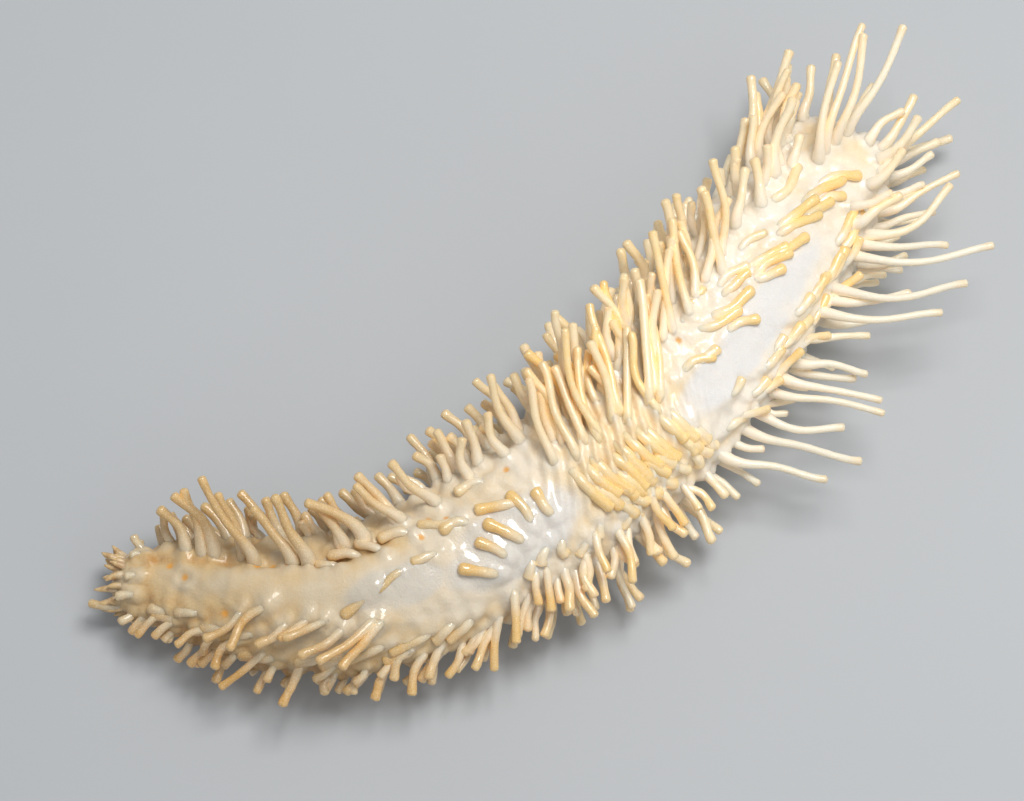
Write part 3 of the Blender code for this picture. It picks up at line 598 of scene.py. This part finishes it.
# Spots where a foot is drawn in: along, around
SPOTS = ((5.6, -20.0), (7.4, -2.0), (14.0, -24.0), (15.4, -28.0), (17.0, -25.0), (18.4, -28.0), (20.0, -24.0),
         (31.0, -18.0), (32.4, -30.0), (34.0, -22.0), (41.5, -30.0), (12.0, 30.0), (62.0, -8.0))
SPOT_REACH = 0.40
SPOT_DIMPLE = (0.12, 0.35)       # depth and reach
SPOT_RING = (0.95, 0.42)         # radius of the swollen ring round a spot, and its reach
RINGED_SPOT, RING_HIGH, RING_LOW = 1, 0.2, 0.1   # the spot with the high ring, its height, and the others'
RIDGE = (7.0, 12.0, 24.0, 30.0)  # where the tail's ridge starts, is whole, begins to fall and ends
RIDGE_FORM = (-4.0, 22.0, 0.9)   # around, half width in degrees, height
GROOVE = (-30.0, 10.0, 1.1)      # around, half width in degrees, depth as a share of the ridge
PLEATS = (51.5, 6.5, 14.0, 52.0)         # middle and half length along, middle and half width in degrees
PLEAT_PITCH = 1.2
PLEAT_HEIGHT = 0.38
PLEAT_WAY = (0.86, 0.5)          # the pleats' direction: share along the body, and round it
WEB_PLACES = (0.25, 0.8, 1.5, 2.3, 3.2)  # mm along a foot, where the wall is drawn up towards it
WEB_FURTHEST = 0.5               # share of a short foot's length that the last of these is cut to
WEB_END = 4.2
WEB_SHARE = (0.62, 0.60, 0.45)   # how near the wall comes to a free, leaning and lying foot's middle
WEB_LEAST = (0.80, 0.65, 0.52)   # least height of the wall's rise at the root of each
WEB_MOST = 1.2
WEB_WIDE = 0.95
WEB_SEARCH = 5.5          # mm along the body in which a foot draws the wall up
WEB_FACING = 0.2          # least cosine between the wall's normal and the foot's, where it does
CROWD_REACH, CROWD_FULL = 1.9, 2.4       # reach of one root's crowding, and how much counts as full
# Folds round the closed vent and mouth: number, height, how far they reach from each end
PUCKER = (17, 0.22)
PUCKER_UNEVEN = (3, 1.3, 5, 0.45)        # waves and size of their bends, then of their change of height
VENT_REACH, MOUTH_REACH = 0.9, 1.9
END_DIMPLE = (0.4, 0.12)  # depth of the dimple in the middle of each end, and its reach along the body
# At the mouth this amber is painted shade in the pit
VENT_SPOT, MOUTH_PIT_SHADE = (0.7, 0.25), (0.45, 0.3)   # how amber the middle of each end is, and its reach
# Warm places of the wall, partly its own cream and amber tone and partly painted shade, tan in the hollows
# among crowded roots, in the groove, on the crowded left front flank and towards the tail: where they are,
# and how warm each is
FLANK = (58, 113)         # degrees from the back between which the wall turns into the flank
FRONT_LEFT = (42, 50, 70, 80)    # where the crowded left side begins, is whole, begins to fade and ends
FRONT_LEFT_TURN = (24, 54)
TAIL_WARM, MOUTH_WARM = (9, 9), (90, 6)  # middle and reach
WARMTH_AND_SHADE = {"crowd": 0.30, "flank": 0.34, "pleats": 0.60, "front_left": 0.40, "tail": 0.22, "groove": 0.30,
          "mouth": 0.25, "painted_shade": 0.35, "raised": -0.45, "bare": -0.9}
RAISED_RATE = 1.8         # how fast the wall grows paler round a foot, for each mm that it rises there


def ripple(a, b, rng, count, pitch):
    """Soft noise in two directions: sines of random direction and phase, added up and scaled."""
    total = np.zeros(np.broadcast(a, b).shape)
    for _ in range(count):
        way, phase = rng.uniform(0, 2 * math.pi, 2)
        rate = 2 * math.pi / (pitch * rng.uniform(*RIPPLE_VARY))
        total += np.sin(rate * (a * math.cos(way) + b * math.sin(way)) + phase)
    return total / math.sqrt(count)


def painted_shade(along):
    """How much painted shade a place has from the light falling off towards the tail: one up to the first
    place of the painted shade's reach, nought past its second.
    """
    return ramp(along, PAINTED_SHADE_REACH[1], PAINTED_SHADE_REACH[0])


def in_fold(along, degrees):
    """How far a place is in the pleated fold: one at its middle, dying away evenly along and around."""
    middle, long, turn, wide = PLEATS
    return bell((along - middle) / long) * bell((degrees - turn) / wide)


def drawn_up(point, normal, along, feet):
    """How far the wall rises round the feet, and how crowded their roots are.

    Round each of a few places near a foot's root the wall is lifted towards the foot by a bell, whose height
    is a share of the place's own height and falls to nothing along the foot. The highest lift counts.
    """
    root, out, path, table = feet
    ways = table[:, WAY].astype(int)
    rise, crowd = np.zeros(point.shape[:2]), np.zeros(point.shape[:2])
    length = path_length(path)
    places = np.minimum(np.array(WEB_PLACES), WEB_FURTHEST * length[:, None])
    spots = smooth_along(path, places / length[:, None] * (PATH_POINTS - 1))
    reach = int(WEB_SEARCH / (along[-1] / len(along)))
    for k in range(len(root)):
        middle = np.searchsorted(along, table[k, ALONG])
        rows = slice(max(0, middle - reach), min(len(along), middle + reach))
        facing = (normal[rows] @ out[k]) > WEB_FACING
        size = table[k, GIRTH] / FOOT_GIRTH
        for place, spot in zip(places[k], spots[k]):
            gap = point[rows] - spot
            deep = gap @ out[k]
            beside = (gap**2).sum(-1) - deep**2
            tall = WEB_LEAST[ways[k]] + WEB_SHARE[ways[k]] * max((spot - root[k]) @ out[k], 0)
            tall = min(tall * (1 - place / WEB_END), WEB_MOST)
            lift = tall * size * np.exp(-beside / (WEB_WIDE * size)**2) * facing
            rise[rows] = np.maximum(rise[rows], lift)
        crowd[rows] += bell(np.linalg.norm(point[rows] - root[k], axis=-1) / CROWD_REACH)
    return rise, np.clip(crowd / CROWD_FULL, 0, 1)


def bare_places(a, degrees, arc, rng):
    """How bare the wall is: one inside each patch's ellipse, falling off at its edge, and a little cloudy."""
    bare = np.zeros_like(a)
    for middle, turn, long, wide in BARE_PATCHES:
        off = ((a - middle) / long)**2 + ((degrees - turn) / wide)**2
        bare = np.maximum(bare, np.clip(BARE_EDGE[0] - BARE_EDGE[1] * off, 0, 1))
    return bare * np.clip(BARE_CLOUDS[0] + BARE_CLOUDS[1] * ripple(a, arc, rng, *CLOUD_RIPPLE), 0, 1)


def drawn_in(a, b, girth):
    """How near each point is to a drawn-in foot, and how its dimple and the ring round it move the wall."""
    spot, moved = np.zeros_like(a), np.zeros_like(a)
    for number, (place, turn) in enumerate(SPOTS):
        gap = np.hypot(a - place, (b - math.radians(turn)) * np.maximum(girth, 1))
        spot = np.maximum(spot, bell(gap / SPOT_REACH))
        ring = RING_HIGH if number == RINGED_SPOT else RING_LOW
        moved += ring * bell((gap - SPOT_RING[0]) / SPOT_RING[1])
        moved -= SPOT_DIMPLE[0] * bell(gap / SPOT_DIMPLE[1])
    return spot, moved


def end_folds(b, from_vent, to_mouth):
    """Folds round the closed vent and mouth: a cosine round the body, bent and swelling unevenly."""
    bends, bent, swells, swollen = PUCKER_UNEVEN
    folds = np.cos(PUCKER[0] * b + bent * np.sin(bends * b)) * (1 + swollen * np.sin(swells * b + 1))
    return folds * PUCKER[1] * (bell(from_vent / VENT_REACH) + bell(to_mouth / MOUTH_REACH))


def skin_arrays(body, feet):
    """The skin as a grid, along by around, with its masks and each point's share of the body's length.

    Each point is the wall's point moved along its normal by folds, pleats, a ridge with a groove beside it,
    the rise round each foot, a dimple at each drawn-in foot, and folds and a dimple at each closed end. The
    masks tell how bare, how warm (partly painted shade in the hollows among roots, the groove and the left
    front flank), how near a drawn-in foot or the painted shade of the mouth's pit, and how much of the tail's
    painted shade the point has.
    """
    rng = np.random.default_rng(SKIN_SEED)
    share = np.linspace(0, 1, SKIN_ALONG)
    along = body.length * (share - END_CROWDING * np.sin(2 * math.pi * share))
    along = np.clip(along, SKIN_FROM_END, body.length - SKIN_FROM_END)
    around = np.linspace(-math.pi, math.pi, SKIN_AROUND, endpoint=False)
    a, b = np.meshgrid(along, around, indexing="ij")
    degrees, to_mouth = np.degrees(b), body.length - a
    point, normal = body.skin(a, b)
    girth = body.read(body.wide, a)
    arc = b * girth
    bare = bare_places(a, degrees, arc, rng)
    rise, crowd = drawn_up(point, normal, along, feet)
    folds = (BROAD_FOLD * ripple(a * BROAD_STRETCH[0], arc * BROAD_STRETCH[1], rng, *BROAD_RIPPLE)
             + FINE_FOLD * ripple(a, arc, rng, *FINE_RIPPLE))
    pleated = in_fold(a, degrees)
    across = a * PLEAT_WAY[0] + arc * PLEAT_WAY[1]
    pleats = PLEAT_HEIGHT * pleated * np.sin(2 * math.pi * across / PLEAT_PITCH)
    turn, wide, high = RIDGE_FORM
    groove = bell((degrees - GROOVE[0]) / GROOVE[1]) * GROOVE[2]
    ridge = high * ramp(a, RIDGE[0], RIDGE[1]) * ramp(a, RIDGE[3], RIDGE[2])
    ridge = ridge * (bell((degrees - turn) / wide) - groove)
    spot, moved = drawn_in(a, b, girth)
    rise = rise + moved
    calm = (1 - CALM[0] * bare) * (1 - CALM[1] * np.clip(ridge / high, 0, 1))
    lump = (folds * calm + pleats + ridge + rise + end_folds(b, a, to_mouth)) * ramp(girth, 0, THIN_WALL)
    lump -= END_DIMPLE[0] * (bell(a / END_DIMPLE[1]) + bell(to_mouth / END_DIMPLE[1]))
    lump = np.where(point[..., 2] + normal[..., 2] * lump < SKIN_FROM_FLOOR, 0, lump)
    # Amber at the middle of each end, at the mouth painted shade in its pit, kept in the spot mask
    ends_amber_and_pit_shade = VENT_SPOT[0] * bell(a / VENT_SPOT[1]) + MOUTH_PIT_SHADE[0] * bell(to_mouth / MOUTH_PIT_SHADE[1])
    flank = ramp(np.abs(degrees), *FLANK)
    front_left = (ramp(a, FRONT_LEFT[0], FRONT_LEFT[1]) * ramp(a, FRONT_LEFT[3], FRONT_LEFT[2])
                  * ramp(-degrees, *FRONT_LEFT_TURN))
    # Painted shade among these places: tan among crowded roots, in the groove, on the left front flank and on
    # the tail's flanks and roots; the rest is partly the wall's own tone
    places = {"crowd": crowd, "flank": flank, "pleats": pleated, "front_left": front_left,
              "tail": bell((a - TAIL_WARM[0]) / TAIL_WARM[1]), "groove": groove * (a < RIDGE[3]),
              "mouth": bell((a - MOUTH_WARM[0]) / MOUTH_WARM[1]), "painted_shade": painted_shade(a) * (flank + crowd),
              "raised": np.clip(rise * RAISED_RATE, 0, 1)}
    warmth_and_shade = sum(WARMTH_AND_SHADE[key] * place for key, place in places.items())
    warmth_and_shade = np.clip(warmth_and_shade, 0, 1) * (1 + WARMTH_AND_SHADE["bare"] * bare)
    masks = {"bare": bare, "warmth_and_shade": warmth_and_shade, "spot": np.maximum(spot, ends_amber_and_pit_shade), "painted_shade": painted_shade(a)}
    return point + normal * lump[..., None], masks, a / body.length


# Meshes

TILE_EDGE = 0.06          # bare edge of each foot's tile of the map, as a share of the tile
MAP_EDGE = 0.01           # bare edge of the skin's map


def make_mesh(name, points, faces, values, uv):
    """An object from points in mm, arrays of faces, a value per point for each attribute, and a map."""
    mesh = bpy.data.meshes.new(name)
    mesh.vertices.add(len(points))
    mesh.vertices.foreach_set("co", (points * MM).astype(np.float32).ravel())
    corners = np.concatenate([f.ravel() for f in faces])
    sizes = np.concatenate([np.full(len(f), f.shape[1]) for f in faces])
    mesh.loops.add(len(corners))
    mesh.loops.foreach_set("vertex_index", corners.astype(np.int32))
    mesh.polygons.add(len(sizes))
    mesh.polygons.foreach_set("loop_start", np.r_[0, np.cumsum(sizes)[:-1]].astype(np.int32))
    mesh.update(calc_edges=True)
    mesh.polygons.foreach_set("use_smooth", np.ones(len(sizes), bool))
    for key, value in values.items():
        mesh.attributes.new(key, "FLOAT", "POINT").data.foreach_set("value", value.astype(np.float32).ravel())
    layer = mesh.uv_layers.new(name="OFBake")
    layer.data.foreach_set("uv", uv.astype(np.float32).ravel())
    mesh.validate()
    piece = bpy.data.objects.new(name, mesh)
    bpy.context.scene.collection.objects.link(piece)
    return piece


def on_map(*corners):
    """Places on the map for each corner of some faces, one pair of arrays a corner."""
    return np.stack([np.stack(np.broadcast_arrays(*corner), -1) for corner in corners], -2).reshape(-1, 2)


def feet_piece(name, rings, share, place, values):
    """One object from many feet, open at the root, closed at the tip, each foot with its own tile of the map.

    reach is the share of the foot's length, and out the distance from its root in mm.
    """
    feet, count, sides, _ = rings.shape
    foot, i, j = np.meshgrid(np.arange(feet), np.arange(count - 1), np.arange(sides), indexing="ij")
    start = (foot * count + i) * sides
    k = (j + 1) % sides
    quads = np.stack([start + j, start + k, start + sides + k, start + sides + j], -1).reshape(-1, 4)
    grid = math.ceil(math.sqrt(feet))
    inner = (1 - 2 * TILE_EDGE) / grid
    column, row = foot % grid, foot // grid
    u0, u1 = ((column + TILE_EDGE) / grid + inner * step / sides for step in (j, j + 1))
    v0, v1 = ((row + TILE_EDGE) / grid + inner * share[foot, step] for step in (i, i + 1))
    per_point = {"reach": np.repeat(share.ravel(), sides), "out": np.repeat(place.ravel(), sides)}
    for key, value in values.items():
        per_point[key] = np.repeat(value, count * sides)
    uv = on_map((u0, v0), (u1, v0), (u1, v1), (u0, v1))
    return make_mesh(name, rings.reshape(-1, 3), [quads], per_point, uv)


def skin_piece(body, feet):
    """The skin's grid closed round the body and with one point at each end."""
    point, masks, u = skin_arrays(body, feet)
    rows, columns = point.shape[:2]
    i, j = np.meshgrid(np.arange(rows - 1), np.arange(columns), indexing="ij")
    k = (j + 1) % columns
    quads = np.stack([i * columns + j, (i + 1) * columns + j, (i + 1) * columns + k, i * columns + k], -1)
    spin = np.arange(columns)
    tail, mouth = rows * columns, rows * columns + 1
    tail_fan = np.stack([np.full(columns, tail), spin, (spin + 1) % columns], -1)
    last = (rows - 1) * columns
    mouth_fan = np.stack([np.full(columns, mouth), last + (spin + 1) % columns, last + spin], -1)
    points = np.concatenate([point.reshape(-1, 3), point[0].mean(0)[None], point[-1].mean(0)[None]])
    values = {key: np.r_[mask.ravel(), mask[0].mean(), mask[-1].mean()] for key, mask in masks.items()}
    step = 1 / columns
    wall = on_map((u[i, j], j / columns), (u[i + 1, j], j / columns),
                  (u[i + 1, j], j / columns + step), (u[i, j], j / columns + step))
    tail_tips = on_map((0.0, (spin + 0.5) * step), (u[0], spin * step), (u[0], (spin + 1) * step))
    mouth_tips = on_map((1.0, (spin + 0.5) * step), (u[-1], (spin + 1) * step), (u[-1], spin * step))
    uv = MAP_EDGE + (1 - 2 * MAP_EDGE) * np.concatenate([wall, tail_tips, mouth_tips])
    return make_mesh("skin", points, [quads.reshape(-1, 4), tail_fan, mouth_fan], values, uv)


# Finishes

class Value:
    """A socket with arithmetic: each operator adds its Math node."""

    def __init__(self, finish, socket):
        self.finish, self.socket = finish, socket

    def _math(self, operation, first, second):
        return self.finish.node("ShaderNodeMath", {"operation": operation}, {0: first, 1: second})

    def __add__(self, other):
        return self._math("ADD", self, other)

    def __sub__(self, other):
        return self._math("SUBTRACT", self, other)

    def __rsub__(self, other):
        return self._math("SUBTRACT", other, self)

    def __mul__(self, other):
        return self._math("MULTIPLY", self, other)

    __radd__, __rmul__ = __add__, __mul__


class Finish:
    """One material, with lengths in metres.

    node() adds any node from its type, its settings and its sockets' values or links.
    """

    def __init__(self, name):
        self.material = bpy.data.materials.new(name)
        self.material.use_nodes = True
        self.tree = self.material.node_tree
        self.shader = self.tree.nodes["Principled BSDF"]
        self.shader.subsurface_method = "BURLEY"
        self.place = self.node("ShaderNodeTexCoord", {}, {}, "Object")

    def node(self, kind, settings, sockets, output=0):
        made = self.tree.nodes.new(kind)
        for key, value in settings.items():
            setattr(made, key, value)
        for key, value in sockets.items():
            self.feed(made.inputs[key], value)
        return Value(self, made.outputs[output])

    def feed(self, socket, value):
        """Links a value to a socket, or sets the socket to a number or colour."""
        if isinstance(value, Value):
            self.tree.links.new(value.socket, socket)
        else:
            socket.default_value = value

    def attribute(self, name):
        """A number kept at each point of the mesh."""
        return self.node("ShaderNodeAttribute", {"attribute_name": name}, {}, "Fac")

    def noise(self, scale, detail):
        """Soft noise over the object's own place, with scale in features a metre."""
        sockets = {"Vector": self.place, "Scale": scale, "Detail": detail, "Roughness": 0.55}
        return self.node("ShaderNodeTexNoise", {}, sockets, "Fac")

    def grains(self, scale):
        """Distance to the nearest of many scattered grains."""
        return self.node("ShaderNodeTexVoronoi", {}, {"Vector": self.place, "Scale": scale}, "Distance")

    def between(self, value, low, high):
        """Nought at low, one at high, smooth between. The high may be the lower of the two."""
        return self.node("ShaderNodeMapRange", {"interpolation_type": "SMOOTHSTEP"},
                         {"Value": value, "From Min": low, "From Max": high})

    def mix(self, share, first, second, blend="MIX"):
        """A colour between two, or the first multiplied by a share of the second."""
        sockets = {"Factor": share, 6: first, 7: second}
        sockets = {key: (*value, 1) if isinstance(value, tuple) else value for key, value in sockets.items()}
        return self.node("ShaderNodeMix", {"data_type": "RGBA", "blend_type": blend}, sockets, 2)

    def bump(self, height, depth, strength):
        """A normal from a height of nought to one, depth in metres."""
        return self.node("ShaderNodeBump", {}, {"Height": height, "Distance": depth, "Strength": strength})

    def finish(self, **sockets):
        """Feeds the shader's sockets, named with underscores for spaces, and gives the material."""
        for key, value in sockets.items():
            self.feed(self.shader.inputs[key.replace("_", " ")], value)
        return self.material


# Colours of the wall, of the feet, and of the floor
# The tan is painted shade, the brown-orange of the hollows between feet
MILK, CREAM, PAINTED_SHADE_TAN = (0.86, 0.79, 0.68), (0.86, 0.68, 0.42), (0.68, 0.40, 0.15)
CLOUDED_MILK, ICE, GRAIN_WHITE = (0.84, 0.71, 0.52), (0.76, 0.75, 0.74), (0.92, 0.89, 0.82)
AMBER, BROWN_MARK = (0.74, 0.34, 0.05), (0.42, 0.24, 0.10)
PALE_STALK, CREAM_STALK, YELLOW_STALK = (0.85, 0.79, 0.65), (0.90, 0.75, 0.49), (0.92, 0.63, 0.23)
MILKY_ROOT, WARM_ROOT, FOLD_ROOT = (0.90, 0.81, 0.66), (0.91, 0.80, 0.62), (0.91, 0.71, 0.38)
SUCKER, PALE_GRAIN = (0.80, 0.53, 0.22), (0.92, 0.84, 0.68)
# Painted shade for the light falling off towards the tail, with some of its own browner tone
PAINTED_SHADE_TONE, PAINTED_SHADE_STALK = (0.72, 0.65, 0.53), (0.63, 0.50, 0.32)   # multiply the tail's wall and stalks
FLOOR_COLOURS = (0.42, 0.44, 0.46), (0.44, 0.46, 0.48)
FLESH_IOR, WET_IOR = 1.38, 1.6


def skin_finish():
    """Moist wall: milk white, bluish where bare, creamy and tan among feet with painted shade in their
    hollows, darker at the tail by painted shade, with amber spots and painted shade in the mouth's pit.
    """
    f = Finish("skin_finish")
    bare, warmth_and_shade, spot, painted_shade_here = (f.attribute(name) for name in ("bare", "warmth_and_shade", "spot", "painted_shade"))
    cloud, fine, grain = f.noise(260, 4), f.noise(2600, 3), f.grains(5200)
    colour = f.mix(f.between(cloud, 0.35, 0.75), MILK, CLOUDED_MILK)
    # Cream is partly the wall's own tone and partly painted shade among the feet; tan, where the mask is
    # highest, is painted shade in the hollows among roots, the groove and the left front flank
    colour = f.mix(f.between(warmth_and_shade + (cloud - 0.5) * 0.5, 0.10, 0.60), colour, CREAM)
    colour = f.mix(f.between(warmth_and_shade + (fine - 0.5) * 0.35, 0.45, 1.05), colour, PAINTED_SHADE_TAN)
    colour = f.mix(f.between(bare + (cloud - 0.5) * 0.35, 0.2, 0.8) * 0.85, colour, ICE)
    colour = f.mix(f.between(grain, 0.55, 0.2) * 0.22, colour, GRAIN_WHITE)
    # Painted shade: the wall darker and browner towards the tail
    colour = f.mix(painted_shade_here, colour, PAINTED_SHADE_TONE, "MULTIPLY")
    # Amber at drawn-in feet and at the vent, and painted shade in the mouth's pit
    colour = f.mix(f.between(spot, 0.25, 0.9) * 0.85, colour, AMBER)
    relief = fine * 0.5 + grain * 0.3 + f.noise(900, 3) * 0.35
    return f.finish(Base_Color=colour, Roughness=0.32 + fine * 0.16 - bare * 0.10, IOR=FLESH_IOR,
                    Coat_Weight=0.30 + bare * 0.60, Coat_Roughness=0.05, Coat_IOR=WET_IOR,
                    Normal=f.bump(relief, 0.00010, 0.7), Subsurface_Weight=0.30,
                    Subsurface_Radius=(1.0, 0.55, 0.28), Subsurface_Scale=0.0009)


def feet_finish():
    """Tube feet: milky at the root, amber in the fold, cream to amber along the stalk, darker at the sucker.

    The grain is fine, and both root and stalk grow darker towards the tail, a painted shade.
    """
    f = Finish("feet_finish")
    reach, out, tint = (f.attribute(name) for name in ("reach", "out", "tint"))
    painted_shade_here, fold = f.attribute("painted_shade"), f.attribute("fold")
    cloud, grain = f.noise(700, 3), f.grains(7600)
    warmth = tint + (cloud - 0.5) * 0.4
    stalk = f.mix(f.between(warmth, 0.0, 0.45), PALE_STALK, CREAM_STALK)
    stalk = f.mix(f.between(warmth, 0.45, 0.95), stalk, YELLOW_STALK)
    root = f.mix(f.between(tint, 0.5, 1.0), MILKY_ROOT, WARM_ROOT)
    root = f.mix(fold * 0.9, root, FOLD_ROOT)
    # Painted shade: root and stalk darker and browner towards the tail
    root = f.mix(painted_shade_here, root, PAINTED_SHADE_TONE, "MULTIPLY")
    stalk = f.mix(painted_shade_here, stalk, PAINTED_SHADE_STALK, "MULTIPLY")
    colour = f.mix(f.between(out + (cloud - 0.5) * 1.2, 0.6, 4.2), root, stalk)
    colour = f.mix(f.between(reach, 0.86, 1.0) * 0.4, colour, SUCKER)
    colour = f.mix(f.between(grain, 0.5, 0.15) * 0.35, colour, PALE_GRAIN)
    relief = grain * 0.5 + f.noise(3000, 2) * 0.6
    return f.finish(Base_Color=colour, Roughness=0.30 + cloud * 0.14, IOR=FLESH_IOR,
                    Coat_Weight=0.15 + tint * 0.85, Coat_Roughness=0.06, Coat_IOR=WET_IOR,
                    Normal=f.bump(relief, 0.00008, 0.7), Subsurface_Weight=0.75,
                    Subsurface_Radius=(1.0, 0.68, 0.40), Subsurface_Scale=0.0012)


def papilla_finish():
    """Small pointed lobes round the vent, cream darkened by the tail's painted shade, with brown marks."""
    f = Finish("papilla_finish")
    reach, cloud = f.attribute("reach"), f.noise(2400, 3)
    colour = f.mix(f.between(reach, 0.1, 0.7), MILK, CREAM)
    # The tail's painted shade, in full
    colour = f.mix(1.0, colour, PAINTED_SHADE_TONE, "MULTIPLY")
    colour = f.mix(f.between(cloud, 0.46, 0.60) * 0.6, colour, BROWN_MARK)
    return f.finish(Base_Color=colour, Roughness=0.3 + cloud * 0.1, IOR=FLESH_IOR, Coat_Weight=0.3,
                    Coat_Roughness=0.12, Normal=f.bump(cloud, 0.00006, 0.6), Subsurface_Weight=0.3,
                    Subsurface_Radius=(1.0, 0.62, 0.3), Subsurface_Scale=0.0008)


# Floor, light and camera

def make_floor():
    """A plain pale sheet under the animal."""
    corners = np.array([[-1, -1, 0], [1, -1, 0], [1, 1, 0], [-1, 1, 0]]) * FLOOR_HALF * MM
    mesh = bpy.data.meshes.new("floor")
    mesh.from_pydata([tuple(c) for c in corners], [], [(0, 1, 2, 3)])
    floor = bpy.data.objects.new("floor", mesh)
    bpy.context.scene.collection.objects.link(floor)
    f = Finish("floor_finish")
    mesh.materials.append(f.finish(Base_Color=f.mix(f.noise(30, 2), *FLOOR_COLOURS), Roughness=0.6))


def aim_at(thing, place, target):
    """Puts a thing at a place and turns its -Z to the target, with its top as near to +Y as it can be."""
    back = unit(place - target)
    right = unit(np.cross([0, 1.0, 0.0001], back))
    turn = np.eye(4)
    turn[:3] = np.c_[right, np.cross(back, right), back, place]
    thing.matrix_world = Matrix(turn.tolist())


def make_light(name, place, size, power, colour):
    """A soft square lamp that looks at the animal."""
    data = bpy.data.lights.new(name, "AREA")
    data.shape, data.size, data.energy, data.color = "SQUARE", size, power, colour
    lamp = bpy.data.objects.new(name, data)
    bpy.context.scene.collection.objects.link(lamp)
    aim_at(lamp, np.array(place) * MM, np.array(LAMP_AIM) * MM)


def make_camera():
    """The photo's view: the aim point is at the picture's middle, and one pixel there sees PHOTO_SCALE."""
    angle = math.radians(CAMERA_ELEVATION)
    back = np.array([0, -math.cos(angle), math.sin(angle)])
    target = np.array(CAMERA_AIM) + (*CENTRING, 0)
    data = bpy.data.cameras.new("camera")
    data.sensor_width = SENSOR
    data.lens = SENSOR * CAMERA_DISTANCE / PHOTO_SCALE / PHOTO_W
    data.clip_start, data.clip_end = 0.01, 10
    camera = bpy.data.objects.new("camera", data)
    bpy.context.scene.collection.objects.link(camera)
    aim_at(camera, (target + back * CAMERA_DISTANCE) * MM, target * MM)
    bpy.context.scene.camera = camera


def make_stage():
    """Floor, camera, a soft key lamp that also gives the wet glints, a weak one low down, and an even sky."""
    make_floor()
    make_light("key", *KEY_LAMP)
    make_light("fill", *FILL_LAMP)
    world = bpy.data.worlds.new("sky")
    world.use_nodes = True
    sky = world.node_tree.nodes["Background"]
    sky.inputs["Color"].default_value = (*SKY_COLOUR, 1)
    sky.inputs["Strength"].default_value = SKY_STRENGTH
    bpy.context.scene.world = world
    bpy.context.scene.view_settings.view_transform = "Standard"
    make_camera()


def put_on(piece, material):
    """Gives a piece its finish and lets it ride with the animal."""
    piece.data.materials.append(material)
    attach(piece, "root")


def build():
    """Makes the skin, the feet of each length, the feet of the belly and the lobes round the vent."""
    body = Body()
    table = feet_table(ROWS, np.random.default_rng(SEED))
    fill = feet_table(FILL_ROWS, np.random.default_rng(FILL_SEED))
    fill[:, ROW] += len(ROWS)
    table = np.concatenate([table, fill])
    root, normal, path, node = foot_paths(body, table)
    rng = np.random.default_rng(SHAPE_SEED)
    rings, share, place = foot_surfaces(root, normal, path, table, rng)
    skin = skin_piece(body, (root, normal, path, table))
    put_on(skin, skin_finish())
    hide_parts(*NODES)
    finish = feet_finish()
    lobes = np.isin(table[:, ROW], LOBE_ROWS)
    values = {"tint": table[:, TINT], "painted_shade": painted_shade(table[:, ALONG]),
              "fold": in_fold(table[:, ALONG], table[:, AROUND])}
    for index, name in enumerate(NODES):
        mine = (node == index) & ~lobes
        piece = feet_piece("feet_" + name, rings[mine], share[mine], place[mine],
                           {key: value[mine] for key, value in values.items()})
        put_on(piece, finish)
    piece = feet_piece("vent_papillae", rings[lobes], share[lobes], place[lobes], {})
    put_on(piece, papilla_finish())
    belly = standing_feet(body, rng)
    count = len(belly[0])
    piece = feet_piece("feet_belly", *belly, {"tint": rng.uniform(*BELLY_TINT, count),
                                              "painted_shade": np.full(count, BELLY_PAINTED_SHADE), "fold": np.zeros(count)})
    put_on(piece, finish)


make_stage()
build()
